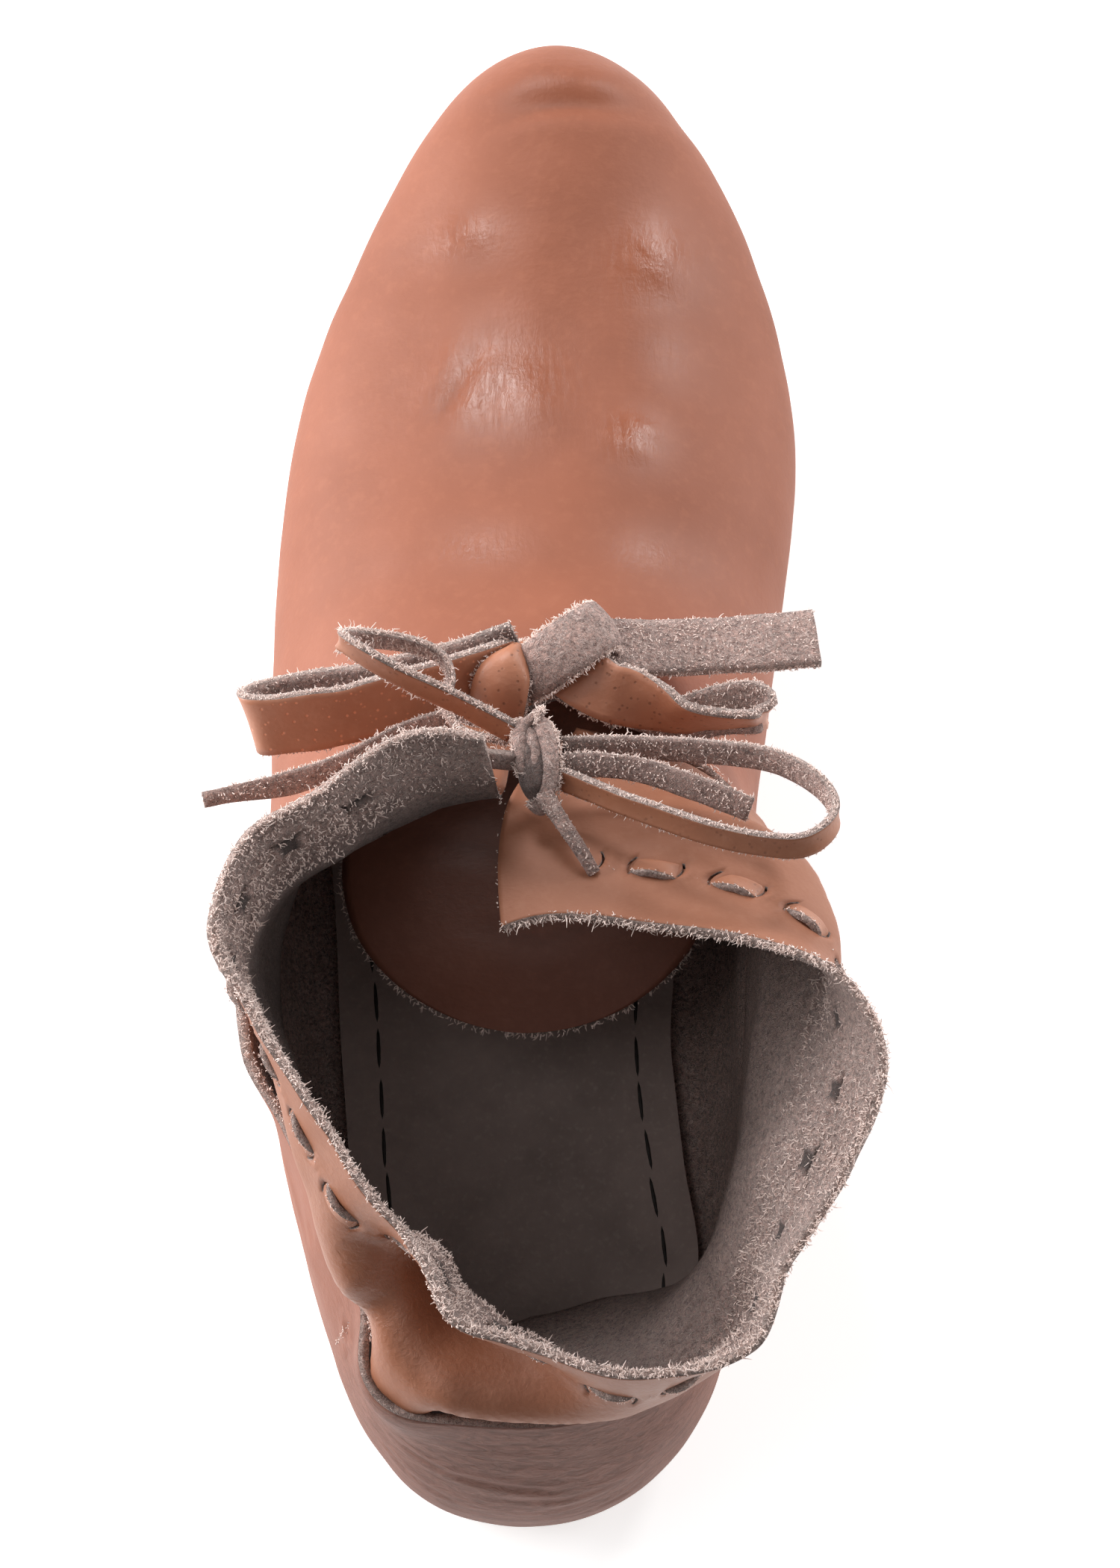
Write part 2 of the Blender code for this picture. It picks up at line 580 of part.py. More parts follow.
def add_tongue(material):
    rows, columns = 14, 10
    tip = TONGUE[-1, 0]
    bm = bmesh.new()
    grid = []
    for k in range(rows + 1):
        y = TONGUE[0, 0] + (tip - TONGUE[0, 0]) * math.sin(0.5 * math.pi * k / rows)
        half = tongue("half", y) * rounding(y - tip, TONGUE_ROUND)
        row = []
        for u in np.linspace(-1, 1, columns + 1):
            sag = tongue("drop", y) * (u * half / tongue("half", y)) ** 2
            row.append(np.array([TONGUE_MID_X + u * half, y, tongue("z", y) - sag]))
        grid.append(row)
    add_grid(bm, grid)
    merge(bm)
    thing = add_object("tongue", bm, material)
    add_wall(thing, TONGUE_THICK)
    return thing


def add_strap_bar(name, side, material):
    """Short length of the strap that shows between two slits beside the heel."""
    front_y, back_y = -106.0, -116.0
    low_level, high_level = 0.42, 0.78
    grid = [[off_wall(y, side, s, GAP + STRAP_THICK) for s in np.linspace(low_level, high_level, 4)]
            for y in np.linspace(back_y, front_y, 5)]
    bm = bmesh.new()
    add_grid(bm, grid, flip=side < 0)
    thing = add_object(name, bm, material)
    add_wall(thing, STRAP_THICK)
    return thing


# Clear the scene
for old in list(bpy.data.objects):
    bpy.data.objects.remove(old)

grain = finish("grain leather", GRAIN_BROWN, 0.45)
shaft_leather = finish("shaft leather", GRAIN_BROWN, 0.5)
sole_leather = finish("sole leather", SOLE_TAN, 0.7)
insole_leather = finish("insole leather", INSOLE_GREY, 0.85)
thong_leather = finish("thong leather", THONG_BROWN, 0.6)

# Sole, insole, low shoe and tongue
add_sole_slab("outsole", 0.0, 0.0, SOLE_THICKNESS, 1.2, sole_leather)
insole_low = SOLE_THICKNESS + UPPER_WALL + 2 * GAP
add_sole_slab("insole", 1.6, insole_low, insole_low + INSOLE_THICKNESS, 0.4, insole_leather)
add_upper(grain)
add_tongue(grain)

# Ankle shaft and the thong woven through its slots
shaft_edge = ShaftEdge()
add_shaft(shaft_edge, shaft_leather)
weave, weave_across = thong_path(shaft_edge)
add_band("thong", weave, weave_across, THONG_WIDE, THONG_THICK, thong_leather)

# Knots, loops and ends of both bows, and the strap under its knot
for knot, (centre, size, turn) in KNOTS.items():
    add_knot(knot, centre, size, turn, thong_leather)
for route, (points, widths) in THONG_ROUTES.items():
    add_route(route, points, widths, THONG_WIDE, THONG_THICK, thong_leather)
for route, (points, widths) in STRAP_ROUTES.items():
    add_route(route, points, widths, STRAP_WIDE, STRAP_THICK, thong_leather)
add_route("strap", STRAP_POINTS, STRAP_ACROSS, STRAP_WIDE, STRAP_THICK, thong_leather)

# Strap bars beside the heel
add_strap_bar("strap_bar_left", -1, thong_leather)
add_strap_bar("strap_bar_right", 1, thong_leather)
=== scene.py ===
"""Medieval ankle boot for the left foot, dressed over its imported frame.

X points to the inner side of the foot, Y to the toe and Z up. Tables are in millimetres.
"""
import json
import math
import random

import bmesh
import bpy
import numpy as np
from mathutils import Matrix, Vector, noise

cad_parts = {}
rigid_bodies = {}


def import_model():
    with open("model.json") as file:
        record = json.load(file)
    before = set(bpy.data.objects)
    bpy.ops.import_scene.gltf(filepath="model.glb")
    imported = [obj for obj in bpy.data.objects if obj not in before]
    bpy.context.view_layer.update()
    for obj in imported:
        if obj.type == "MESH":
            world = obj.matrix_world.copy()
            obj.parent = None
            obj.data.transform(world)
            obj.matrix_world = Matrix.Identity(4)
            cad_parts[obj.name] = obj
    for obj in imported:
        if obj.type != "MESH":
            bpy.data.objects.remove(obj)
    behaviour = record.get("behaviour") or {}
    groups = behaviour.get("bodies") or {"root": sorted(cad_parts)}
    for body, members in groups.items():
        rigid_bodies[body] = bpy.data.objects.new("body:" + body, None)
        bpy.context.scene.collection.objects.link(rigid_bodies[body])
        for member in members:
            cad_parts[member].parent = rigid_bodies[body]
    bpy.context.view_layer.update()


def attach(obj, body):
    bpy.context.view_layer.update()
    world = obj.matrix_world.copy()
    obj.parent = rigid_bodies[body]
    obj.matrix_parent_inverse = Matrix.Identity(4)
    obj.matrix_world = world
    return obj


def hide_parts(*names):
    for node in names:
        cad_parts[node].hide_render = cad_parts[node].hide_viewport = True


for old in list(bpy.data.objects):
    bpy.data.objects.remove(old)
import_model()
MM = 0.001

# The outsole is one slab of thick vegetable-tanned leather under the whole foot, cut to the last's
# outline. Its edge is rubbed round, and the toe is turned up a little by wear.
HEEL_Y, TOE_Y, THROAT_Y = -144.0, 144.0, 3.0
HEEL_MID_X, TOE_MID_X = -3.5, 2.5
TOE_SPRING, SPRING_START_Y = 6.0, 66.0
HEEL_ROUND, TOE_ROUND = 40.0, 45.0
SOLE_SCALE, SOLE_THICKNESS, SOLE_EDGE_ROUND = 0.967, 5.0, 1.1
WELD_DISTANCE, EMPTY_AREA, CORNER_ANGLE = 0.02, 1e-13, 50.0
LAST_COLUMNS = ("y", "sole_left", "sole_right", "left", "right", "bulge_z",
                "top_left", "top_right", "top_z", "lean")
LAST = np.array((
    (-144.0, 36.0, 36.0, 39.5, 39.5, 28.0, 37.0, 38.0, 62.0, -8.0),
    (-130.0, 33.5, 33.5, 36.0, 37.2, 28.0, 34.0, 36.0, 61.5, -10.0),
    (-115.0, 32.5, 32.5, 36.5, 37.0, 29.0, 31.0, 35.0, 60.5, -12.0),
    (-95.0, 33.0, 33.0, 41.5, 39.5, 30.0, 38.0, 40.0, 59.5, -6.0),
    (-76.0, 36.0, 30.0, 46.5, 39.5, 30.0, 46.0, 44.0, 59.5, 0.0),
    (-63.0, 37.3, 28.3, 48.3, 39.2, 30.0, 53.0, 45.7, 60.0, 5.0),
    (-50.0, 38.5, 27.0, 50.0, 39.0, 30.0, 54.5, 47.0, 60.5, 8.0),
    (-27.0, 40.0, 28.5, 51.0, 39.5, 28.0, 50.0, 46.5, 66.0, 2.0),
    (-8.0, 42.0, 32.0, 50.7, 40.8, 26.0, 33.0, 32.5, 74.0, -48.0),
    (3.0, 43.5, 34.5, 50.7, 42.0, 25.0, 28.0, 28.0, 75.5, -90.0),
    (30.0, 45.5, 40.5, 51.2, 44.6, 22.0, 0.0, 0.0, 62.0, -90.0),
    (60.0, 44.0, 43.5, 49.2, 47.4, 19.0, 0.0, 0.0, 50.0, -90.0),
    (84.0, 39.0, 39.5, 43.8, 43.9, 17.5, 0.0, 0.0, 43.0, -90.0),
    (102.0, 33.5, 34.0, 37.2, 38.5, 16.5, 0.0, 0.0, 38.5, -90.0),
    (114.0, 30.0, 31.0, 33.8, 35.0, 16.0, 0.0, 0.0, 36.0, -90.0),
    (126.0, 27.5, 28.5, 31.4, 32.6, 15.5, 0.0, 0.0, 33.5, -90.0),
    (144.0, 25.0, 25.0, 29.2, 29.2, 15.0, 0.0, 0.0, 31.0, -90.0),
))


def smooth(xs, ys, x):
    """Cubic through a table's rows that never overshoots between two of them."""
    step = np.diff(xs)
    slope = np.diff(ys) / step
    tangent = np.concatenate([slope[:1], np.zeros(len(slope) - 1), slope[-1:]])
    before, after = slope[:-1], slope[1:]
    same = before * after > 0
    tangent[1:-1][same] = (2 * before * after)[same] / (before + after)[same]
    k = np.clip(np.searchsorted(xs, x, side="right") - 1, 0, len(step) - 1)
    t = (x - xs[k]) / step[k]
    rise = t * t * (3 - 2 * t)
    curve = t * (1 - t) ** 2 * tangent[k] + t * t * (t - 1) * tangent[k + 1]
    return ys[k] + rise * (ys[k + 1] - ys[k]) + step[k] * curve


def last(column, y):
    return float(smooth(LAST[:, 0], LAST[:, LAST_COLUMNS.index(column)], y))


def rounding(distance, reach):
    """From 0 at a round end to 1 a reach away from it, along an ellipse."""
    away = min(max(1 - distance / reach, 0.0), 1.0)
    return math.sqrt(1 - away * away)


def round_ends(y):
    return rounding(y - HEEL_Y, HEEL_ROUND) * rounding(TOE_Y - y, TOE_ROUND)


def middle(y):
    return HEEL_MID_X + (TOE_MID_X - HEEL_MID_X) * (y - HEEL_Y) / (TOE_Y - HEEL_Y)


def spring(y):
    """Lift of the sole towards the toe."""
    return TOE_SPRING * max((y - SPRING_START_Y) / (TOE_Y - SPRING_START_Y), 0.0) ** 2


def sole_edge(y, side):
    half = last("sole_right" if side > 0 else "sole_left", y) * round_ends(y)
    return np.array([middle(y) + side * half, y * SOLE_SCALE, spring(y)])


def inset_edge(y, side, inset):
    """The sole's edge at a station, moved inwards in plan."""
    edge = sole_edge(y, side)
    nudge = 0.5
    if y - nudge < HEEL_Y:
        inward = np.array([0.0, 1.0, 0.0])
    elif y + nudge > TOE_Y:
        inward = np.array([0.0, -1.0, 0.0])
    else:
        along = sole_edge(y + nudge, side) - sole_edge(y - nudge, side)
        inward = np.array([-along[1], along[0], 0.0]) * side
        inward /= np.linalg.norm(inward)
    moved = edge + inset * inward
    moved[2] = spring(moved[1] / SOLE_SCALE)
    return moved


def stations(count):
    """Sections from heel to toe, closer together at the heel, the throat and the toe."""
    half = count // 2
    quarters = [0.5 - 0.5 * math.cos(math.pi * k / half) for k in range(half)]
    vamp = [math.sin(0.5 * math.pi * k / half) for k in range(half + 1)]
    return ([HEEL_Y + (THROAT_Y - HEEL_Y) * t for t in quarters]
            + [THROAT_Y + (TOE_Y - THROAT_Y) * t for t in vamp])


def leather_grid(columns, **marks):
    """A sheet of squares laid on columns of points, with its flat layout as UV and marks as attributes."""
    points = np.array(columns, float) * MM
    wide, tall = points.shape[0] - 1, points.shape[1] - 1
    bm = bmesh.new()
    bm.loops.layers.uv.new("flat")
    layers = [(bm.verts.layers.float.new(name), values) for name, values in marks.items()]
    bmesh.ops.create_grid(bm, x_segments=wide, y_segments=tall, size=0.5, calc_uvs=True)
    for v in bm.verts:
        column, row = round((v.co.x + 0.5) * wide), round((v.co.y + 0.5) * tall)
        v.co = points[column, row]
        for layer, values in layers:
            v[layer] = values[column, row]
    return bm


def close_seams(bm):
    bmesh.ops.remove_doubles(bm, verts=bm.verts, dist=WELD_DISTANCE * MM)
    flat = [f for f in bm.faces if f.calc_area() < EMPTY_AREA]
    bmesh.ops.delete(bm, geom=flat, context="FACES")
    bmesh.ops.delete(bm, geom=[v for v in bm.verts if not v.link_faces], context="VERTS")


def add_piece(name, bm, finishes, nodes=()):
    mesh = bpy.data.meshes.new(name)
    bm.to_mesh(mesh)
    bm.free()
    mesh.shade_smooth()
    return set_out(name, mesh, finishes, nodes)


def set_out(name, shape, finishes, nodes=()):
    """A piece of the boot from its mesh or curves."""
    for finish in finishes:
        shape.materials.append(finish)
    piece = bpy.data.objects.new(name, shape)
    bpy.context.scene.collection.objects.link(piece)
    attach(piece, "root")
    if nodes:
        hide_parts(*nodes)
    return piece


def thicken(piece, thickness, flesh=0, edge=0):
    """Give a sheet its wall behind its grain side; flesh and edge are steps to those finishes."""
    wall = piece.modifiers.new("wall", "SOLIDIFY")
    wall.thickness = thickness * MM
    wall.offset = -1.0
    wall.use_quality_normals = True
    wall.material_offset = flesh
    wall.material_offset_rim = edge


def round_edges(piece, width, segments=3):
    rub = piece.modifiers.new("rubbed edge", "BEVEL")
    rub.width = width * MM
    rub.segments = segments
    rub.profile = 0.5
    rub.limit_method = "ANGLE"
    rub.angle_limit = math.radians(CORNER_ANGLE)


class Shade:
    """A shader socket that takes plain arithmetic; make() adds any other node beside it."""

    def __init__(self, socket):
        self.socket = socket

    def make(self, kind, settings=None, inputs=None, out=0):
        tree = self.socket.id_data
        node = tree.nodes.new("ShaderNode" + kind)
        for name, value in (settings or {}).items():
            setattr(node, name, value)
        for name, value in (inputs or {}).items():
            if isinstance(value, Shade):
                tree.links.new(value.socket, node.inputs[name])
            else:
                node.inputs[name].default_value = value
        return Shade(node.outputs[out])

    def maths(self, operation, first, second):
        return self.make("Math", {"operation": operation}, {0: first, 1: second})

    def __add__(self, other):
        return self.maths("ADD", self, other)

    def __radd__(self, other):
        return self.maths("ADD", other, self)

    def __sub__(self, other):
        return self.maths("SUBTRACT", self, other)

    def __rsub__(self, other):
        return self.maths("SUBTRACT", other, self)

    def __mul__(self, other):
        return self.maths("MULTIPLY", self, other)

    def __rmul__(self, other):
        return self.maths("MULTIPLY", other, self)

    def noise(self, scale, detail=2.0, rough=0.5, warp=0.0):
        """Cloudy variation from 0 to 1 with features of about 1/scale metres."""
        return self.make("TexNoise", {}, {"Vector": self, "Scale": scale, "Detail": detail,
                                          "Roughness": rough, "Distortion": warp})

    def cells(self, scale, feature="F1", out=0):
        """Pebbles or pores, as distance inside cells of about 1/scale metres."""
        return self.make("TexVoronoi", {"feature": feature}, {"Vector": self, "Scale": scale}, out)

    def spread(self, low, high, start=0.0, end=1.0):
        """The part of a value between low and high, as start to end."""
        return self.make("MapRange", {}, {"Value": self, "From Min": low, "From Max": high,
                                          "To Min": start, "To Max": end})

    def between(self, first, second):
        """First colour where the value is 0, second where it is 1."""
        first = first if isinstance(first, Shade) else (*first, 1.0)
        second = second if isinstance(second, Shade) else (*second, 1.0)
        return self.make("Mix", {"data_type": "RGBA"}, {0: self, 6: first, 7: second}, 2)

    def stretched(self, scale):
        return self.make("Mapping", {}, {"Vector": self, "Scale": scale})

    def mark(self, name):
        """A mark laid on the points of a sheet, such as its painted shade or its rubbed patches."""
        return self.make("Attribute", {"attribute_name": name}, {}, 2)


def start_finish(name, **constants):
    """A new material with its shader's constant sockets set, and its object coordinates."""
    material = bpy.data.materials.new(name)
    material.use_nodes = True
    shader = material.node_tree.nodes["Principled BSDF"]
    for socket, value in constants.items():
        shader.inputs[socket.replace("_", " ")].default_value = value
    place = material.node_tree.nodes.new("ShaderNodeTexCoord").outputs["Object"]
    return material, shader, Shade(place)


def feed(shader, colour, roughness, height, depth):
    """Link a finish's colour, roughness and relief to its shader."""
    tree = shader.id_data
    tree.links.new(colour.socket, shader.inputs["Base Color"])
    tree.links.new(roughness.socket, shader.inputs["Roughness"])
    bump = height.make("Bump", {}, {"Strength": 1.0, "Distance": depth * MM, "Height": height})
    tree.links.new(bump.socket, shader.inputs["Normal"])


sole_leather, shader, place = start_finish("sole leather")
mottle = place.noise(70, 4, 0.6)
fibres = place.stretched((1.0, 1.0, 7.0)).noise(420, 3, 0.6)
tan = mottle.spread(0.3, 0.7).between((0.36, 0.2, 0.115), (0.24, 0.125, 0.07))
tan = fibres.spread(0.35, 0.7, 0.0, 0.6).between(tan, (0.17, 0.085, 0.05))
feed(shader, tan, mottle.spread(0.3, 0.7, 0.55, 0.75), fibres + place.noise(1500, 2), 0.12)


def sole_sheet(count, across, inset, height):
    """The sole's outline filled with squares, at a height."""
    columns = []
    for y in stations(count):
        left, right = inset_edge(y, -1, inset), inset_edge(y, 1, inset)
        columns.append([left + (right - left) * t + (0, 0, height)
                        for t in np.linspace(1, 0, across + 1)])
    bm = leather_grid(columns)
    close_seams(bm)
    return bm


outsole = add_piece("outsole_leather", sole_sheet(120, 16, 0.0, SOLE_THICKNESS), [sole_leather],
                    ["outsole"])
thicken(outsole, SOLE_THICKNESS)
round_edges(outsole, SOLE_EDGE_ROUND)

# The insole is a thinner, worn grey-brown sock that lies on the lasting margin. A dark waxed thread
# runs round it in long stitches, a little way in from its edge.
INSOLE_INSET, INSOLE_TOP, INSOLE_THICKNESS, INSOLE_EDGE_ROUND = 1.6, 10.3, 2.4, 0.5
STITCH_INSET, STITCH_LONG, STITCH_GAP, STITCH_THICK, STITCH_TALL = 8.2, 8.4, 0.8, 0.8, 0.7
STITCH_SWAY, STITCH_TURN, STITCH_SINK = 0.4, 0.06, 0.1
insole_leather, shader, place = start_finish("insole leather")
mottle = place.noise(45, 5, 0.65)
speck = place.noise(900, 2, 0.6)
grey = mottle.spread(0.3, 0.72).between((0.47, 0.362, 0.33), (0.32, 0.246, 0.225))
grey = speck.spread(0.55, 0.75, 0.0, 0.5).between(grey, (0.5, 0.4, 0.365))
feed(shader, grey, mottle.spread(0.3, 0.7, 0.75, 0.9), speck + mottle, 0.15)
insole = add_piece("insole_leather_sock", sole_sheet(160, 40, INSOLE_INSET, INSOLE_TOP),
                   [insole_leather], ["insole"])
thicken(insole, INSOLE_THICKNESS)
round_edges(insole, INSOLE_EDGE_ROUND)

waxed_thread, shader, place = start_finish("waxed thread")
twist = place.noise(2500, 2)
feed(shader, twist.between((0.012, 0.009, 0.008), (0.03, 0.023, 0.02)),
     twist.spread(0.3, 0.7, 0.5, 0.7), twist, 0.1)


def runs(points):
    """Distance along a polyline at each of its points."""
    return np.concatenate([[0.0], np.cumsum(np.linalg.norm(np.diff(points, axis=0), axis=1))])


def at_runs(points, run, wanted):
    """Points of a line, or directions along it, at wanted distances."""
    return np.stack([np.interp(wanted, run, points[:, k]) for k in range(3)], axis=1)


def evenly(points, step):
    """Points at even steps along a polyline, with the direction at each and its length."""
    points = np.array(points, float)
    run = runs(points)
    count = max(int(round(run[-1] / step)), 2)
    placed = at_runs(points, run, np.linspace(0, run[-1], count + 1))
    along = np.gradient(placed, axis=0)
    return placed, along / np.linalg.norm(along, axis=1)[:, None], run[-1]


ring = [inset_edge(y, -1, STITCH_INSET) for y in stations(160)]
ring += [inset_edge(y, 1, STITCH_INSET) for y in stations(160)[::-1]]
places, ways, _ = evenly(ring, STITCH_LONG + STITCH_GAP)
chance = random.Random(5)
bm = bmesh.new()
for point, way in zip(places[:-1], ways[:-1]):
    aside = [chance.uniform(-STITCH_SWAY, STITCH_SWAY) for _ in range(2)]
    sway = Vector((*aside, INSOLE_TOP - STITCH_SINK))
    turn = math.atan2(way[1], way[0]) + chance.uniform(-STITCH_TURN, STITCH_TURN)
    shape = Matrix.Diagonal((STITCH_LONG * MM / 2, STITCH_THICK * MM / 2, STITCH_TALL * MM / 2, 1.0))
    spot = Matrix.Translation((Vector(point) + sway) * MM) @ Matrix.Rotation(turn, 4, "Z")
    bmesh.ops.create_uvsphere(bm, u_segments=8, v_segments=5, radius=1.0, matrix=spot @ shape)
add_piece("insole_stitches", bm, [waxed_thread])

# The upper is the low shoe itself: one piece of soft calf, wetted and drawn over the last, smooth
# side out. Its lasting margin turns in under the foot, and its top line is a raw cut edge.
UPPER_WALL, LASTING_MARGIN, GAP = 2.0, 9.0, 0.4
THROAT_ROUND, NOSE_ROUND = 30.0, 24.0
BACK_LEAN, BACK_LEAN_START_Y = 12.0, -60.0
ARCH_RISE, QUARTER_END_Y, VAMP_START_Y = 0.058, -30.0, -6.0
UPPER_STATIONS, MARGIN_ROWS, LOWER_ROWS, UPPER_ROWS = 240, 3, 12, 52
GRAIN_RED, GRAIN_DEEP, GRAIN_PALE = (0.29, 0.085, 0.038), (0.23, 0.065, 0.028), (0.34, 0.114, 0.057)
SUEDE_GREY, SUEDE_DARK, SUEDE_PALE = (0.58, 0.375, 0.325), (0.17, 0.1, 0.085), (0.88, 0.67, 0.61)
# Painted shade on the heel: its strength, the stations where it starts and where it is full, and its dark
# and grey streak tones.
HEEL_SHADE, HEEL_SHADE_START_Y, HEEL_SHADE_END_Y = 0.6, -92.0, -128.0
HEEL_SHADE_DARK, HEEL_SHADE_GREY = (0.085, 0.036, 0.025), (0.22, 0.105, 0.08)


def grain_finish(name, tones, gloss, relief, creases=(2.4, 0.6, 1.0), dots=0.0, dot_tone=0.4):
    """Smooth side of calf: mottled brown with fine pores, shining where creases have been rubbed; shade is
    painted into its creases and on the heel.
    """
    base, deep, pale = tones
    material, shader, place = start_finish(name)
    clouds = place.noise(28, 4, 0.6)
    mottle = place.noise(420, 3, 0.6)
    pores = place.cells(1000)
    follicles = place.cells(680).spread(0.12, 0.24, dots, 0.0)
    tracks = place.stretched((1.0, 2.4, 1.6)).noise(260, 3, 0.7, 0.6)
    wrinkle = place.mark("wrinkle")
    fold = place.mark("fold")
    soil = place.mark("soil")
    fine = place.stretched(creases).noise(310, 4, 0.75, 1.0)
    colour = clouds.spread(0.3, 0.72).between(base, deep)
    colour = mottle.spread(0.5, 0.8, 0.0, 0.4).between(colour, pale)
    colour = follicles.between(colour, [dot_tone * c for c in deep])
    streaks = place.stretched((0.7, 1.2, 2.4)).noise(240, 4, 0.75, 1.2)
    # Painted shade on the heel, streaked between a dark and a grey tone; the same mark also deepens the
    # heel's wrinkles.
    heel_shade_colour = streaks.spread(0.36, 0.62).between(HEEL_SHADE_DARK, HEEL_SHADE_GREY)
    colour = soil.between(colour, heel_shade_colour)
    # Painted shade darkens the creases.
    colour = fold.spread(0.0, 1.0, 0.0, 0.85).between(colour, [0.3 * c for c in deep])
    rough = clouds.spread(0.3, 0.7, gloss, gloss + 0.08) + mottle * 0.06 - wrinkle * 0.36
    height = pores * 0.15 + tracks * 0.3 + mottle * 0.2 - follicles * 0.4
    height = height + fine * wrinkle * 0.85 + streaks * soil * 3.0
    feed(shader, colour, rough, height, relief)
    return material


def suede_finish(name, base, dark, pale, relief=0.6):
    """Raw flesh side: curly matted fibres, pale over dark hollows, with shade painted where it is marked
    for it.
    """
    material, shader, place = start_finish(name, Sheen_Weight=0.2, Sheen_Roughness=0.6,
                                           Specular_IOR_Level=0.15)
    clouds = place.noise(55, 3, 0.6)
    nap = place.noise(1000, 4, 0.75, 0.8)
    curls = []
    for scale, warp in ((520, 1.6), (860, 2.2)):
        wave = place.noise(scale, 2, 0.6, warp) - 0.5
        curls.append(wave.maths("ABSOLUTE", wave, 0.0).spread(0.0, 0.045, 1.0, 0.0))
    pocket = place.mark("pocket")
    colour = nap.spread(0.38, 0.57).between(dark, base)
    colour = (curls[0] * 0.75).between(colour, pale)
    colour = (curls[1] * 0.6).between(colour, pale)
    colour = clouds.spread(0.35, 0.75, 0.0, 0.3).between(colour, dark)
    # Painted shade: in the slit pockets, low inside the collar, along the thong's inside lengths, at
    # strips' starts and in the knots' hearts.
    colour = (pocket * 0.9).between(colour, [0.25 * c for c in dark])
    height = nap * 0.9 + curls[0] * 0.35 + curls[1] * 0.25
    feed(shader, colour, nap.spread(0.0, 1.0, 0.85, 1.0), height, relief)
    return material


def heel_soil(columns):
    """How strongly shade is painted on the leather, growing towards the back of the heel and upwards."""
    _, y, z = np.moveaxis(np.array(columns), 2, 0)
    back = np.clip((y - HEEL_SHADE_START_Y) / (HEEL_SHADE_END_Y - HEEL_SHADE_START_Y), 0, 1)
    return HEEL_SHADE * back * (0.8 + 0.5 * np.clip(z / 60, 0, 1))


def bezier(points, s):
    a, b, c, d = points
    return (1 - s) ** 3 * a + 3 * s * (1 - s) ** 2 * b + 3 * s * s * (1 - s) * c + s ** 3 * d


def wall_section(y, side):
    """Points of the low shoe's outer face at a station, from the margin's edge to the top."""
    name = "right" if side > 0 else "left"
    rise = spring(y)
    lift = np.array([0.0, 0.0, SOLE_THICKNESS + GAP])
    feather = sole_edge(y, side) + lift
    margin = inset_edge(y, side, LASTING_MARGIN) + lift
    bulge_z = rise + last("bulge_z", y)
    bulge = np.array([middle(y) + side * last(name, y) * round_ends(y), y, bulge_z])
    half = 0.0
    if y < THROAT_Y:
        half = last("top_" + name, y)
        half *= rounding(y - HEEL_Y, HEEL_ROUND) * rounding(THROAT_Y - y, THROAT_ROUND)
    lean_in = max((BACK_LEAN_START_Y - y) / (BACK_LEAN_START_Y - HEEL_Y), 0.0) ** 2
    crown_z = rise + last("top_z", y)
    top_z = bulge_z + (crown_z - bulge_z) * rounding(TOE_Y - y, NOSE_ROUND)
    top = np.array([middle(y) + side * half, y + BACK_LEAN * lean_in, top_z])
    under = [margin + (feather - margin) * t for t in np.linspace(0, 1, MARGIN_ROWS, endpoint=False)]
    leave = feather + np.array([0.6, 0.6, 0.06]) * (bulge - feather)
    arrive = bulge - np.array([0.0, 0.0, 0.5 * (bulge - feather)[2]])
    steps = np.linspace(0, 1, LOWER_ROWS, endpoint=False)[:, None]
    lower = bezier((feather, leave, arrive, bulge), steps)
    steps = np.linspace(0, 1, UPPER_ROWS + 1)[:, None]
    span = top - bulge
    lean = math.radians(last("lean", y))
    reach = 0.5 * float(np.linalg.norm(span))
    tilt = side * math.sin(lean) * rounding(y - HEEL_Y, HEEL_ROUND)
    quarter = bezier((bulge, bulge + np.array([0.0, 0.15, 0.45]) * span,
                      top - np.array([tilt * reach, 0.5 * span[1], math.cos(lean) * reach]), top), steps)
    crown = np.array([middle(y), y, top[2] + ARCH_RISE * max(THROAT_Y - y, 0.0) ** 2])
    span = crown - bulge
    arch = (bulge, bulge + np.array([0.0, 0.0, 0.45]) * span,
            crown + np.array([side * 0.5 * float(np.linalg.norm(span)), 0.0, 0.0]), crown)
    trial = np.linspace(1, 0, 201)
    cut = float(np.interp(side * top[0], side * bezier(arch, trial[:, None])[:, 0], trial))
    t = min(max((y - QUARTER_END_Y) / (VAMP_START_Y - QUARTER_END_Y), 0.0), 1.0)
    vamp_share = t * t * (3 - 2 * t)
    upper = (1 - vamp_share) * quarter + vamp_share * bezier(arch, steps * cut)
    return np.vstack([under, lower, upper])


def line_distance(points, line):
    """Distance of each point from a polyline, and how far along it the nearest place is."""
    line = np.array(line, float)
    best = np.full(len(points), 1e9)
    share = np.zeros(len(points))
    count = len(line) - 1
    for k in range(count):
        way = line[k + 1] - line[k]
        t = np.clip(((points - line[k]) @ way) / (way @ way), 0, 1)
        away = np.linalg.norm(points - line[k] - t[:, None] * way, axis=1)
        nearer = away < best
        best[nearer] = away[nearer]
        share[nearer] = (k + t[nearer]) / count
    return best, share


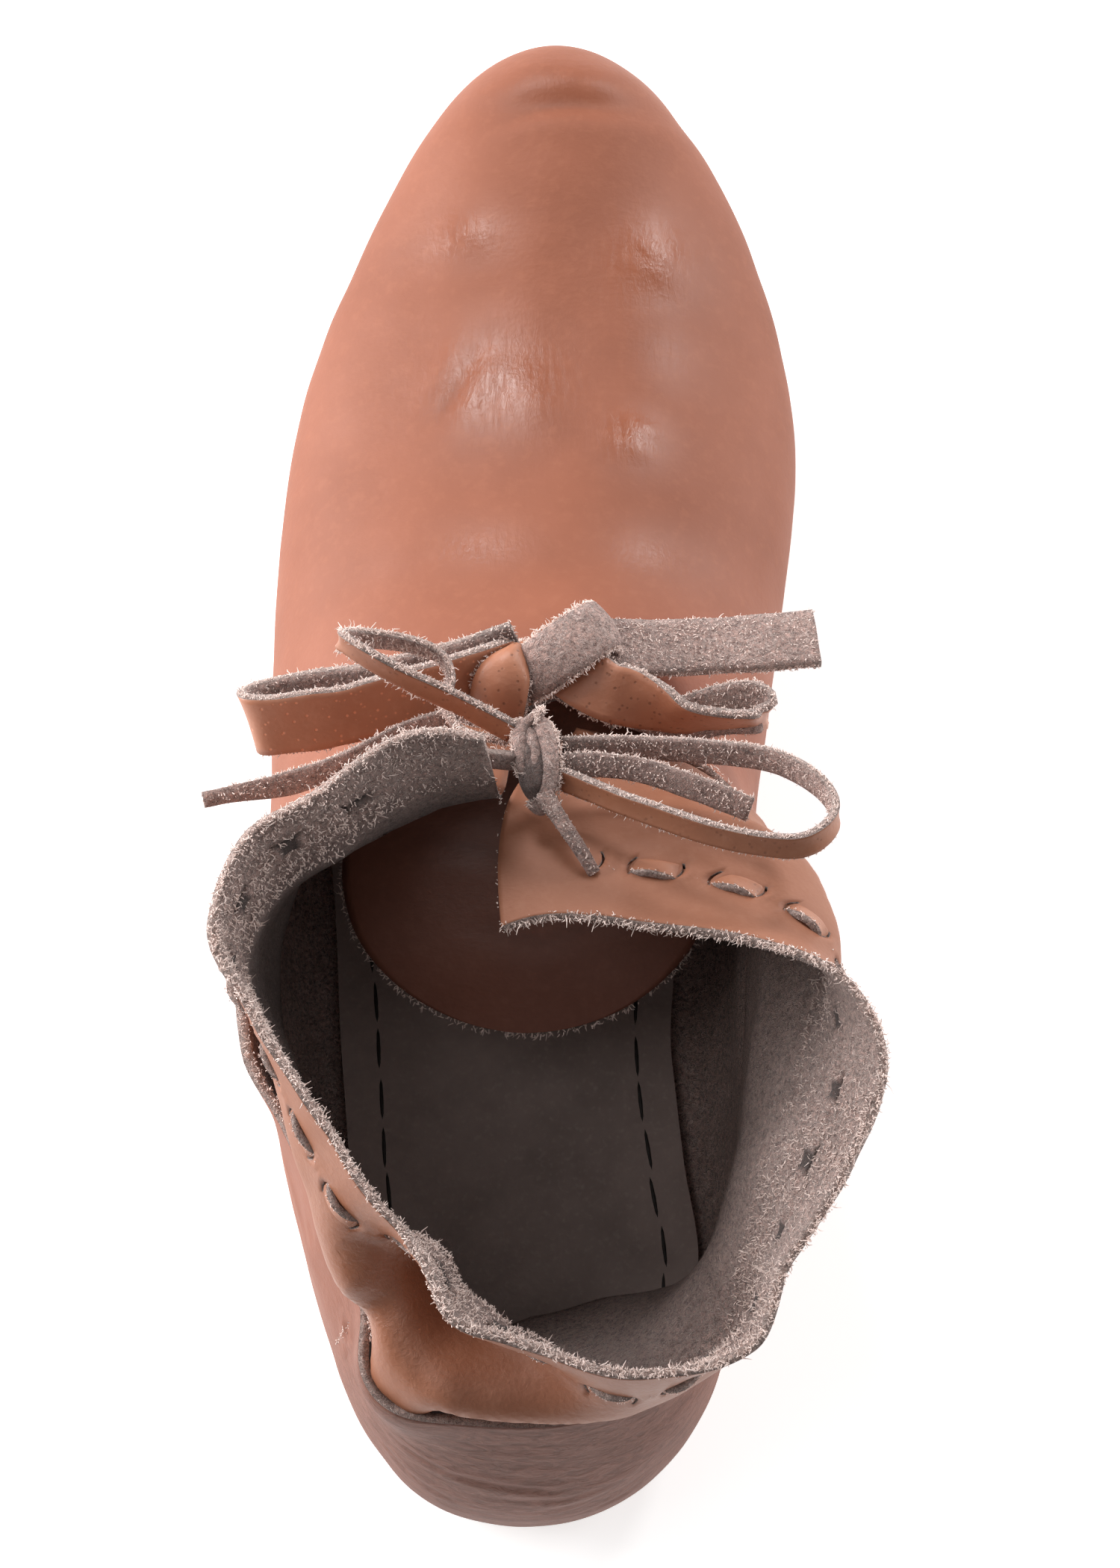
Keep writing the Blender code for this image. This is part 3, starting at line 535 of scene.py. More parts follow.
def work_leather(bm, folds, dents, patches, lumps):
    """Press creases, dents and lumps into a sheet along its normals, and mark the creases for painted
    shade and the rubbed patches for gloss.
    """
    crease_shade_layer = bm.verts.layers.float.new("fold")
    wrinkle_layer = bm.verts.layers.float.new("wrinkle")
    bm.normal_update()
    verts = list(bm.verts)
    points = np.array([v.co for v in verts]) / MM
    push = np.zeros(len(verts))
    fold = np.zeros(len(verts))
    wrinkle = np.zeros(len(verts))
    for line, width, depth in folds:
        away, share = line_distance(points, line)
        taper = np.sin(np.pi * np.clip(share, 0.02, 0.98)) ** 0.6
        push += taper * depth * (0.55 * np.exp(-((away - 1.7 * width) / width) ** 2)
                                 - np.exp(-(away / width) ** 2))
        # Painted shade along the crease, strongest on its middle line.
        fold = np.maximum(fold, taper * min(depth, 1.0) * np.exp(-(away / (0.45 * width)) ** 2))
    for centre, radii, depth in dents:
        push += depth * np.exp(-np.sum(((points - centre) / radii) ** 2, axis=1))
    for centre, radii, strength in patches:
        near = np.exp(-np.sum(((points - centre) / radii) ** 2, axis=1))
        wrinkle = np.maximum(wrinkle, strength * near)
    for size, depth in lumps:
        push += depth * np.array([noise.noise(Vector(p) / size) for p in points])
    for v, amount, dark, fine in zip(verts, push, fold, wrinkle):
        v.co += v.normal * amount * MM
        v[crease_shade_layer] = dark
        v[wrinkle_layer] = fine


def add_hide(name, bm, grain, flesh, thickness, node):
    """A piece cut from hide: grain on its face, flesh side behind it and a raw cut edge."""
    piece = add_piece(name, bm, [grain, flesh, raw_edge], [node])
    thicken(piece, thickness, 1, 2)
    return piece


grain_leather = grain_finish("calf grain", (GRAIN_RED, GRAIN_DEEP, GRAIN_PALE), 0.56, 0.16)
suede = suede_finish("flesh side", SUEDE_GREY, SUEDE_DARK, SUEDE_PALE)
raw_edge = suede_finish("cut edge", (0.6, 0.43, 0.38), (0.2, 0.13, 0.11), (0.88, 0.71, 0.65))
upper_stations = stations(UPPER_STATIONS)
left_wall = [wall_section(y, -1) for y in upper_stations]
right_wall = [wall_section(y, 1) for y in upper_stations]
upper_columns = np.array(right_wall + left_wall[::-1])
# The upper carries the heel's painted shade as a mark.
bm = leather_grid(upper_columns, soil=heel_soil(upper_columns))
close_seams(bm)
UPPER_FOLDS = (
    (((-12, 123, 36), (-2, 127, 36), (6, 128.6, 36), (16, 127.4, 36), (26, 125, 34)), 2.4, 0.24),
    (((-8, 64, 51), (0, 62.5, 52), (9, 61, 51.5)), 1.6, 0.35),
    (((3, 54, 54), (9, 52, 54), (15, 49, 53)), 1.4, 0.3),
    (((-20, 62, 46), (-16, 70, 46), (-12, 78, 45)), 2.6, 0.5),
    (((-9, 76, 46.5), (-5, 70, 48.5), (-3, 63, 50.5)), 1.3, 0.22),
    (((14, 98, 41), (20, 96, 40), (27, 92, 39)), 1.6, 0.28),
    (((12, 60, 50.5), (18, 57, 49.5), (23, 55, 48)), 1.5, 0.3),
    (((-30, -130, 55), (-12, -137, 53), (10, -138, 52), (28, -130, 55)), 0.9, 0.3),
    (((-27, -133, 50), (-8, -139, 49), (8, -140, 47), (22, -136, 48)), 0.9, 0.26),
    (((-32, -129, 46), (-18, -138, 44), (2, -141, 42), (12, -141, 44)), 1.0, 0.3),
    (((-14, -140, 39), (4, -142, 38), (20, -138, 40), (31, -129, 44)), 1.0, 0.3),
    (((-31, -130, 37), (-19, -139, 34), (-2, -142, 33), (8, -142, 35)), 1.1, 0.28),
    (((-4, -142, 28), (12, -141, 29), (24, -136, 32)), 1.1, 0.26),
    (((-48, -68, 40), (-42, -92, 37), (-37, -104, 40)), 1.8, 0.45),
    (((-43, -92, 50), (-40, -96, 42), (-40, -98, 36)), 1.2, 0.4),
    (((-37.6, -114, 45.5), (-35.8, -112, 48), (-33.8, -109.6, 50.5)), 1.0, 0.9),
    (((39, -40, 34), (41, -66, 37), (40, -92, 40)), 2.6, 0.4),
)
UPPER_DENTS = (
    ((7, 127.6, 37), (20, 3.2, 20), -0.9),
    ((7, 135, 32), (15, 4.0, 20), 0.6),
    ((-16, 72, 47), (5, 12, 12), 0.5),
    ((-3, 67, 50), (8, 7, 12), 0.5),
    ((22, 96, 40), (7, 8, 12), 0.9),
    ((6, 80, 46), (7, 16, 12), -0.5),
    ((17, 57, 50), (5, 5, 10), 0.8),
    ((-15, 100, 39), (6, 4, 10), 0.4),
    ((-28, -126, 60), (11, 11, 9), 4.8),
)
UPPER_PATCHES = (
    ((-9, 69, 49), (18, 15, 16), 1.05),
    ((22, 95, 40), (12, 14, 14), 1.0),
    ((17, 57, 50), (9, 8, 12), 1.0),
    ((-13, 33, 60), (13, 6, 12), 0.8),
    ((24, 76, 44), (9, 10, 12), 0.7),
    ((-15, 100, 39), (10, 7, 12), 0.9),
    ((22, 32, 58), (12, 7, 12), 0.8),
    ((2, 132, 33), (22, 6, 12), 0.5),
    ((0, -138, 44), (50, 14, 20), 0.3),
    ((-40, -95, 40), (14, 30, 22), 0.4),
)
work_leather(bm, UPPER_FOLDS, UPPER_DENTS, UPPER_PATCHES, ((26, 0.4), (9, 0.16)))
add_hide("upper_calf", bm, grain_leather, suede, UPPER_WALL, "upper")

# Raw cut edges and the flesh side shed short pale fibres. They are set as fine bent hairs along an
# edge or over a face, leaning at random, a little longer where the knife has torn the leather.
HAIR_THICK, HAIR_ROOT, HAIR_SWELLS = 0.12, 0.15, (1.0, 0.8, 0.35)
FIBRE_TONES = {"pale fibres": (0.86, 0.7, 0.64), "grey fibres": (0.6, 0.44, 0.39),
               "dark fibres": (0.3, 0.2, 0.17)}
TONE_DRAW = (0, 0, 1, 1, 2)
# Fibres of an edge: its width, hairs to the millimetre, and their usual length.
TOP_LINE_FIBRES, SLIT_FIBRES = (1.6, 8.0, 1.0), (0.8, 6.0, 0.5)
TOP_LINE_IN = 0.8 / 45
fibre_finishes = []
for name, tone in FIBRE_TONES.items():
    finish, _, _ = start_finish(name, Base_Color=(*tone, 1.0), Roughness=0.9, Specular_IOR_Level=0.2)
    fibre_finishes.append(finish)


def hair(root, aim, long, chance):
    """One hair: its root, first direction, bend, length, thickness and tone."""
    stray = Vector([chance.gauss(0, 1) for _ in range(3)])
    bend = Vector([chance.gauss(0, 0.7) for _ in range(3)])
    reach = long * (0.45 + 0.55 * chance.random() + 1.4 * chance.random() ** 12)
    way = (Vector(aim).normalized() + 0.75 * stray).normalized()
    thick, tone = chance.uniform(0.6, 1.2), chance.choice(TONE_DRAW)
    return Vector(root) - HAIR_ROOT * way, way, bend, reach, thick, tone


def edge_hairs(points, aims, spread, per_mm, long, chance):
    """Hairs along a cut edge, given by its points, outward directions and width."""
    points, aims = np.array(points, float), np.array(aims, float)
    run = runs(points)
    hairs = []
    for _ in range(int(run[-1] * per_mm)):
        where = chance.uniform(0, run[-1])
        root = Vector([np.interp(where, run, points[:, k]) for k in range(3)])
        aim = Vector([np.interp(where, run, aims[:, k]) for k in range(3)])
        root += 0.5 * spread * Vector([chance.uniform(-1, 1) for _ in range(3)])
        hairs.append(hair(root, aim, long, chance))
    return hairs


def nap_hairs(grid, aims, per_mm2, long, chance, bare=None):
    """Hairs over a face, from its grid of points and the direction it looks in; none where it is bare."""
    sides = np.diff(grid, axis=0)[:, :-1], np.diff(grid, axis=1)[:-1]
    areas = np.linalg.norm(np.cross(*sides), axis=2)
    total = np.cumsum(areas.ravel())
    hairs = []
    for _ in range(int(total[-1] * per_mm2)):
        cell = min(int(np.searchsorted(total, chance.random() * total[-1])), areas.size - 1)
        column, row = divmod(cell, areas.shape[1])
        s, t = chance.random(), chance.random()
        if bare is not None and bare[column, row] > 0.25:
            continue
        root = grid[column, row] + s * sides[0][column, row] + t * sides[1][column, row]
        hairs.append(hair(root, aims[column, row], long, chance))
    return hairs


def plant(name, hairs):
    """Set hairs as one piece of fine bent curves."""
    curves = bpy.data.curves.new(name, "CURVE")
    curves.dimensions = "3D"
    curves.bevel_depth = HAIR_THICK * MM
    curves.bevel_resolution = 0
    for root, way, bend, reach, thick, tone in hairs:
        middle_place = root + way * reach / 2
        tip_place = middle_place + (way + bend).normalized() * reach / 2
        strand = curves.splines.new("POLY")
        strand.points.add(2)
        strand.material_index = tone
        for point, spot, share in zip(strand.points, (root, middle_place, tip_place), HAIR_SWELLS):
            point.co = (*(spot * MM), 1.0)
            point.radius = thick * share
    return set_out(name, curves, fibre_finishes)


left_top, right_top = ([wall[-1] for wall, y in zip(walls, upper_stations) if y < THROAT_Y - 1]
                       for walls in (left_wall, right_wall))
top_line = np.array(left_top[::-1] + right_top)
top_line[:, :2] *= (1 - TOP_LINE_IN)
upright = np.tile((0, 0, 1.0), (len(top_line), 1))
top_hairs = edge_hairs(top_line, upright, *TOP_LINE_FIBRES, random.Random(11))
plant("top_line_fibres", top_hairs)
slit = [(-37.9, -114, 45.5), (-36.1, -112, 48), (-34.1, -109.6, 50.5)]
slit_hairs = edge_hairs(slit, [(-1, 0, 0.6)] * len(slit), *SLIT_FIBRES, random.Random(15))
plant("strap_slit_fibres", slit_hairs)

# The tongue is a round-ended flap of the same calf, sewn under the vamp's throat, grain side up.
# It sags across the foot and its free end is a raw, slightly furry cut.
TONGUE_COLUMNS = ("y", "z", "half", "drop")
TONGUE = np.array((
    (20.0, 64.2, 22.0, 6.0),
    (6.0, 67.0, 25.0, 8.0),
    (-8.0, 66.5, 28.0, 9.0),
    (-24.0, 63.5, 34.0, 11.0),
    (-40.0, 56.0, 34.5, 9.0),
    (-56.0, 45.0, 34.0, 5.0),
))
TONGUE_THICK, TONGUE_MID_X, TONGUE_ROUND = 1.8, -3.0, 30.0
TONGUE_LONG_CELLS, TONGUE_WIDE_CELLS, TIP_START = 60, 40, 20
TIP_MIDDLE, TIP_FIBRES = np.array([TONGUE_MID_X, -25.0, 56.0]), (1.2, 4.0, 1.2)


def tongue(column, y):
    return float(smooth(-TONGUE[:, 0], TONGUE[:, TONGUE_COLUMNS.index(column)], -y))


tongue_rows = []
for k in range(TONGUE_LONG_CELLS + 1):
    share = math.sin(0.5 * math.pi * k / TONGUE_LONG_CELLS)
    y = TONGUE[0, 0] + (TONGUE[-1, 0] - TONGUE[0, 0]) * share
    half = tongue("half", y) * rounding(y - TONGUE[-1, 0], TONGUE_ROUND)
    row = []
    for u in np.linspace(-1, 1, TONGUE_WIDE_CELLS + 1):
        sag = tongue("drop", y) * (u * half / tongue("half", y)) ** 2
        row.append(np.array([TONGUE_MID_X + u * half, y, tongue("z", y) - sag]))
    tongue_rows.append(row)
bm = leather_grid(tongue_rows)
close_seams(bm)
TONGUE_FOLDS = (
    (((-24, -22, 60), (-8, -26, 62), (10, -24, 62)), 2.6, 0.4),
    (((-14, -38, 56), (0, -41, 55), (16, -36, 57)), 2.2, 0.3),
)
work_leather(bm, TONGUE_FOLDS, (), (((0, -30, 58), (30, 26, 20), 0.7),), ((16, 0.5), (7, 0.15)))
# The tongue's calf is given darker tones than the vamp's, as painted shade for its place deep in the
# throat.
SHADED_TONGUE_TONES = (0.22, 0.082, 0.052), (0.18, 0.064, 0.04), (0.26, 0.108, 0.07)
shaded_tongue_leather = grain_finish("tongue grain", SHADED_TONGUE_TONES, 0.54, 0.2, (0.8, 2.0, 1.0))
add_hide("tongue_calf", bm, shaded_tongue_leather, suede, TONGUE_THICK, "tongue")
tip_rows = tongue_rows[TIP_START:]
tip = np.array([row[0] for row in tip_rows] + [row[-1] for row in tip_rows[::-1]]) - (0, 0, 0.8)
tip_hairs = edge_hairs(tip, tip - TIP_MIDDLE, *TIP_FIBRES, random.Random(12))
plant("tongue_fibres", tip_hairs)

# The shaft is the slack ankle wall: one strip of calf sewn inside the top line, grain side out, with
# two flaps that meet over the instep. Paired slits near its raw edge take the thong.
ANKLE_X, ANKLE_Y = 0.0, -74.0
SHAFT_COLUMNS = ("base_dir", "edge_dir", "base_r", "base_z", "rim_r", "rim_z",
                 "fold_r", "fold_z", "edge_r", "edge_z")
SHAFT = np.array((
    (5.0, -16.0, 70.0, 71.0, 68.0, 78.0, 50.0, 91.0, 27.0, 98.0),
    (16.0, 14.0, 69.0, 68.0, 66.0, 77.0, 50.0, 92.0, 28.5, 101.0),
    (28.0, 28.0, 64.5, 61.0, 63.0, 74.5, 56.0, 90.0, 30.0, 102.5),
    (38.0, 40.0, 63.5, 54.0, 61.5, 72.0, 61.0, 87.0, 33.0, 103.0),
    (48.0, 49.0, 54.0, 51.0, 56.0, 71.0, 62.5, 87.0, 37.0, 104.0),
    (58.0, 58.0, 46.5, 50.0, 48.5, 70.0, 61.0, 88.0, 43.0, 105.0),
    (75.0, 75.0, 40.0, 48.0, 41.0, 69.0, 54.0, 89.0, 55.0, 107.0),
    (90.0, 90.0, 37.6, 47.0, 38.4, 68.0, 48.5, 88.0, 59.0, 106.0),
    (108.0, 108.0, 37.8, 43.0, 38.0, 66.0, 46.0, 86.0, 56.0, 103.0),
    (128.0, 128.0, 40.0, 34.0, 40.6, 62.0, 51.0, 82.0, 56.0, 99.0),
    (143.0, 143.0, 36.0, 29.0, 45.4, 62.0, 59.5, 75.0, 62.0, 95.0),
    (162.0, 162.0, 32.0, 28.0, 52.5, 62.5, 59.5, 72.0, 57.0, 92.0),
    (182.0, 182.0, 33.5, 28.0, 55.0, 62.5, 59.5, 71.0, 50.0, 92.0),
    (200.0, 200.0, 42.0, 33.0, 55.2, 62.5, 60.0, 71.5, 46.5, 93.0),
    (214.0, 214.0, 48.0, 42.0, 50.8, 62.0, 54.5, 73.0, 39.5, 95.0),
    (230.0, 230.0, 45.4, 46.0, 42.8, 61.0, 49.5, 74.0, 38.7, 98.0),
    (248.0, 248.0, 43.5, 47.0, 41.6, 61.0, 46.0, 76.0, 39.5, 101.0),
    (264.0, 264.0, 44.6, 47.0, 43.4, 62.0, 46.5, 80.0, 44.0, 104.5),
    (278.0, 278.0, 48.0, 48.0, 47.0, 63.0, 50.0, 84.0, 52.0, 108.0),
    (292.0, 292.0, 54.0, 48.0, 54.0, 64.0, 56.0, 86.0, 63.5, 111.0),
    (306.0, 306.0, 61.0, 50.0, 60.0, 67.0, 53.0, 86.0, 65.7, 112.0),
    (320.0, 320.0, 66.0, 56.0, 63.0, 71.0, 48.5, 86.0, 62.0, 112.0),
    (336.0, 336.0, 66.5, 66.0, 64.5, 75.0, 47.5, 87.0, 63.0, 112.0),
    (357.0, 351.0, 70.0, 71.0, 67.0, 78.0, 50.0, 88.0, 59.0, 109.0),
))
SHAFT_LEVELS = ("base", "rim", "fold", "edge")
SHAFT_WALL, SHAFT_SAMPLES, EDGE_SAMPLES, FOLD_TURN = 1.8, 97, 741, 0.6
SEAT_EASE = np.array([0.4, 0.4, 0.0, 0.0])
SLOT_PERIOD, FIRST_SLOT, LAST_SLOT = 14.0, 21.7, 13.0
SLIT_TALL, SLIT_BOW, BAR_START, BAR_END = 4.0, 0.8, 2.2, 11.2
SLIT_COLUMNS = (0.0, 1.3, 2.6, 3.1, 3.9, 4.8, 5.75, 6.7, 7.65, 8.6, 9.5, 10.3, 10.8, 11.9, 12.7, 13.4)
SLIT_CELLS, FLAP_CELLS = (2, 11), (8, 19)
SLIT_ROWS, BODY_ROWS, FLAP_ROWS, NAP_ROWS = 5, 30, 26, 22
SLIT_AWAY, PUCKER, PUCKER_AWAY, PRESS, POCKET_HALF, POCKET_TALL = 4.0, 0.35, 5.7, 0.5, 2.9, 0.5
RIM_FIBRES, FLAP_FIBRES, NAP_FIBRES = (1.8, 14.0, 1.15), (1.2, 1.5, 0.4), (1.5, 1.0)
# Slack: a direction round the ankle in degrees, its half width, a distance below the cut edge, its reach,
# and how far the wall stands out there. The tight fold has the same columns.
SLACK = (
    (205.0, 13.0, 0.0, 5.0, 2.5),
    (201.0, 27.0, 12.5, 7.5, -15.0),
    (205.0, 13.0, 12.0, 7.0, -4.5),
    (207.5, 8.5, 38.0, 9.0, 8.0),
    (211.0, 11.0, 25.0, 6.0, -6.0),
    (144.0, 11.0, 12.0, 7.0, -2.5),
    (326.0, 30.0, 30.0, 13.0, 6.5),
    (34.0, 16.0, 48.0, 9.0, 4.0),
    (92.0, 24.0, 0.0, 12.0, 2.0),
)
# At a place along the slits: how far the thong has drawn them along, and how far below the edge they are.
PULL = np.array(((0, 0), (60, 0), (155, -4), (168, -4), (226, 1.8),
                 (242, 2.4), (265, 0.8), (288, -4), (312, -4.2), (330, -3), (345, 0)))
SLOT_DOWNS = np.array(((0, 12), (24, 12), (42, 14.5), (58, 14), (80, 12), (240, 12), (285, 8), (345, 8)))
SHADE_DEPTH, SHADE_TURN, SHADE_DOWN = 0.65, (262, 24), 13
SHADE_STARTS = (262, 300, 351), (14, 12, 7)
TIGHT_FOLD, WALL_PRESSED = (326, 36, 30, 16, 1.3), 0.7


def shaft(column, direction):
    edge = SHAFT_COLUMNS.index("edge_dir")
    return float(smooth(SHAFT[:, edge], SHAFT[:, SHAFT_COLUMNS.index(column)], direction))


def shaft_curve(direction):
    """One upright line of the shaft's outer face, from its cut edge down, with its length."""
    base = shaft("base_dir", direction)
    turns = np.array([base, base, base + FOLD_TURN * (direction - base), direction])
    radii = np.array([shaft(level + "_r", direction) for level in SHAFT_LEVELS]) - SEAT_EASE
    heights = np.array([shaft(level + "_z", direction) for level in SHAFT_LEVELS])
    run = np.concatenate([[0.0], np.cumsum(np.hypot(np.diff(radii), np.diff(heights)))])
    down = np.linspace(run[-1], 0, SHAFT_SAMPLES)
    turns, radii, heights = (smooth(run, column, down) for column in (turns, radii, heights))
    proud = np.zeros(len(down))
    for way, half, level, reach, amount in SLACK:
        share = amount * math.exp(-((direction - way) / half) ** 4)
        proud += share * np.exp(-(((run[-1] - down) - level) / reach) ** 2)
    outward, upward = -np.gradient(heights), np.gradient(radii)
    size = np.hypot(outward, upward)
    radii, heights = radii + proud * outward / size, heights + proud * upward / size
    turns = np.radians(turns)
    line = np.stack([ANKLE_X + radii * np.sin(turns), ANKLE_Y + radii * np.cos(turns), heights], axis=1)
    return line, runs(line)


edge_turns = np.linspace(SHAFT[0, 1], SHAFT[-1, 1], EDGE_SAMPLES)
bar_line = np.vstack([at_runs(*shaft_curve(t), [SLOT_DOWNS[0, 1]]) for t in edge_turns])
edge_runs = runs(bar_line)
EDGE_LONG = float(edge_runs[-1])
PERIODS = int((EDGE_LONG - FIRST_SLOT - LAST_SLOT) // SLOT_PERIOD)


def edge_turn(run):
    return float(np.interp(run + np.interp(run, *PULL.T), edge_runs, edge_turns))


def slot_down(run):
    """How far below the cut edge the slits are, at a place along them."""
    return np.interp(run, *SLOT_DOWNS.T)


def on_shaft(run, downs):
    """Points of the shaft's outer face at a place along its slits, at distances down from its edge."""
    line, lengths = shaft_curve(edge_turn(run))
    return at_runs(line, lengths, downs), lengths[-1]


half_tall = SLIT_TALL / 2
ABOVE_SLIT = np.array((0.0, 0.06, 0.15, 0.26, 0.38, 0.5, 0.62, 0.74, 0.86))
first_slit_row = len(ABOVE_SLIT)
shaft_runs = list(np.linspace(0, FIRST_SLOT - SLOT_PERIOD, FLAP_CELLS[0], endpoint=False))
slit_cells = {len(shaft_runs) + SLIT_CELLS[1]}
for period in range(-1, PERIODS):
    if period >= 0:
        slit_cells |= {len(shaft_runs) + cell for cell in SLIT_CELLS}
    shaft_runs += [FIRST_SLOT + period * SLOT_PERIOD + run for run in SLIT_COLUMNS]
shaft_runs += list(np.linspace(FIRST_SLOT + PERIODS * SLOT_PERIOD, EDGE_LONG, FLAP_CELLS[1] + 1))
shaft_runs = np.array(shaft_runs)
shaft_columns, shaft_downs = [], []
for run in shaft_runs:
    _, deep = on_shaft(run, [0.0])
    top, bottom = slot_down(run) - half_tall, slot_down(run) + half_tall
    body = bottom + (deep - bottom) * np.linspace(0, 1, BODY_ROWS + 1)[1:]
    slit_rows = np.linspace(top, bottom, SLIT_ROWS + 1)
    shaft_downs.append(np.concatenate([top * ABOVE_SLIT, slit_rows, body]))
    shaft_columns.append(on_shaft(run, shaft_downs[-1])[0])
shaft_columns, shaft_downs = np.array(shaft_columns), np.array(shaft_downs)

# Each slit bows away from its bar, the wall is pressed in under the bar and puckers beyond the slit,
# and where the strip passes inside, the wall is left thinner and its flesh side gets painted shade.
ways_along = np.gradient(shaft_columns, shaft_runs, axis=0)
shaft_out = np.cross(-np.gradient(shaft_columns, axis=1), ways_along)
shaft_out /= np.linalg.norm(shaft_out, axis=2)[:, :, None]
from_slits = (shaft_downs - slot_down(shaft_runs)[:, None]) / half_tall
bow, press, pocket = (np.zeros(shaft_downs.shape) for _ in range(3))
for period in range(-1, PERIODS):
    start = FIRST_SLOT + period * SLOT_PERIOD
    beside = (shaft_runs - start - (BAR_START + BAR_END) / 2)[:, None]
    arch = np.clip(1 - from_slits ** 2, 0, 1)
    near = np.exp(-((np.abs(beside) - SLIT_AWAY) / 2.0) ** 4)
    bow += SLIT_BOW * np.sign(beside) * near * arch
    if period >= 0:
        pucker = PUCKER * np.exp(-((np.abs(beside) - PUCKER_AWAY) / 1.1) ** 2)
        press += np.exp(-from_slits ** 2) * (pucker - PRESS * np.exp(-(beside / SLIT_AWAY) ** 6))
    beside = (shaft_runs - start - (BAR_START + BAR_END + SLOT_PERIOD) / 2)[:, None]
    pocket = np.maximum(pocket, np.exp(-(beside / POCKET_HALF) ** 4 - (from_slits / POCKET_TALL) ** 4))
shaft_columns = shaft_columns + bow[:, :, None] * ways_along + press[:, :, None] * shaft_out
shaft_turns = np.array([edge_turn(run) for run in shaft_runs])
# Painted shade also darkens the lower inside of the left-front collar, starting nearer the cut edge
# towards the knot.
shade_start = np.interp(shaft_turns, *SHADE_STARTS)[:, None]
shade = SHADE_DEPTH * np.clip((shaft_turns - SHADE_TURN[0]) / SHADE_TURN[1], 0, 1)[:, None]
shade = shade * np.clip((shaft_downs - shade_start) / SHADE_DOWN, 0, 1)
# Both painted shades go on the flesh side, and no nap fibres grow where they are dark.
collar_shade = np.maximum(pocket, shade)
way, half, level, reach, amount = TIGHT_FOLD
tight = amount * np.exp(-((shaft_turns[:, None] - way) / half) ** 4 - ((shaft_downs - level) / reach) ** 4)
bm = leather_grid(shaft_columns, pocket=collar_shade, pressed=np.maximum(pocket, tight))
bm.verts.ensure_lookup_table()
rows = shaft_columns.shape[1]
uv = bm.loops.layers.uv.active
cut_out = []
for face in bm.faces:
    u, v = (sum(loop[uv].uv[k] for loop in face.loops) / 4 for k in (0, 1))
    column, row = int(u * (len(shaft_columns) - 1)), int(v * (rows - 1))
    if column in slit_cells and first_slit_row <= row < first_slit_row + SLIT_ROWS:
        cut_out.append(face)
bmesh.ops.delete(bm, geom=cut_out, context="FACES")
SHAFT_FOLDS = (
    (((-34, -96, 84), (-22, -112, 80), (-6, -124, 78), (12, -128, 78)), 2.2, 0.5),
    (((-40, -84, 86), (-36, -98, 78), (-28, -112, 74)), 2.0, 0.5),
    (((-46, -70, 84), (-43, -84, 78), (-38, -98, 72)), 2.4, 0.6),
    (((14, -126, 86), (30, -120, 84), (44, -112, 82)), 2.0, 0.4),
    (((40, -44, 78), (44, -58, 80), (46, -74, 80)), 2.6, 0.5),
    (((30, -22, 84), (40, -32, 84), (46, -46, 84)), 2.2, 0.35),
    (((-54, -40, 80), (-58, -54, 84), (-54, -68, 86)), 3.0, 0.6),
)
SHAFT_PATCHES = (
    ((-26, -108, 82), (26, 26, 26), 1.0),
    ((20, -126, 82), (34, 16, 20), 0.8),
)
work_leather(bm, SHAFT_FOLDS, (), SHAFT_PATCHES, ((22, 0.7), (8, 0.22)))
SHAFT_TONES = (0.325, 0.126, 0.068), (0.27, 0.098, 0.049), (0.37, 0.162, 0.097)
shaft_leather = grain_finish("shaft grain", SHAFT_TONES, 0.56, 0.26, (1.5, 1.5, 2.0))
SHAFT_FLESH = (0.54, 0.36, 0.315), (0.16, 0.098, 0.084), (0.84, 0.65, 0.59)
shaft_suede = suede_finish("shaft flesh side", *SHAFT_FLESH, 0.7)
shaft_piece = add_hide("ankle_shaft", bm, shaft_leather, shaft_suede, SHAFT_WALL, "shaft")
pressed = shaft_piece.vertex_groups.new(name="wall left by the strip")
for v, share in enumerate(shaft_piece.data.attributes["pressed"].data):
    pressed.add([v], 1 - WALL_PRESSED * share.value, "REPLACE")
shaft_piece.modifiers["wall"].vertex_group = pressed.name
mid_leather = shaft_columns - 0.5 * SHAFT_WALL * shaft_out
flesh = shaft_columns - SHAFT_WALL * shaft_out
chance = random.Random(13)
rim_aims = shaft_columns[:, 0] - shaft_columns[:, 3]
rim_aims = rim_aims / np.linalg.norm(rim_aims, axis=1)[:, None] - 0.5 * shaft_out[:, 0]
rim = edge_hairs(mid_leather[:, 0], rim_aims, *RIM_FIBRES, chance)
for side, beside in ((0, 1), (-1, -2)):
    flap_aims = shaft_columns[side, :FLAP_ROWS] - shaft_columns[beside, :FLAP_ROWS]
    rim += edge_hairs(mid_leather[side, :FLAP_ROWS], flap_aims, *FLAP_FIBRES, chance)
plant("collar_fibres", rim)
third = len(shaft_columns) // 3
for k, part in enumerate((slice(0, third + 1), slice(third, 2 * third + 1), slice(2 * third, None)), 1):
    inward = -shaft_out[part, :NAP_ROWS]
    nap = nap_hairs(flesh[part, :NAP_ROWS], inward, *NAP_FIBRES, chance, collar_shade[part])
    plant(f"collar_nap_{k}", nap)

# The thong is a narrow strip of the same hide, woven out and in through the slits round the shaft.
# Each short bar shows its grain outside, drawn down hard into the slit at either end.
THONG_WIDE, THONG_THICK, BAR_WIDE = 4.4, 1.4, 3.5
BAR_RISE, INSIDE_RISE, BAR_TILT, END_RISE = 0.7, -0.25, 0.35, 1.4
LAST_BAR_SHARE, INSIDE_SHARE, THONG_CUP = 0.65, 0.65, 0.15
KNOT_SHORT, KNOT_LEFT, THONG_FIBRES = 2.0, (-2.5, -17.5, 98.2), (0.7, 3.5, 0.4)
THONG_TONES = (0.37, 0.148, 0.08), (0.29, 0.108, 0.055), (0.43, 0.195, 0.12)
thong_leather = grain_finish("thong grain", THONG_TONES, 0.4, 0.2, dots=0.35)


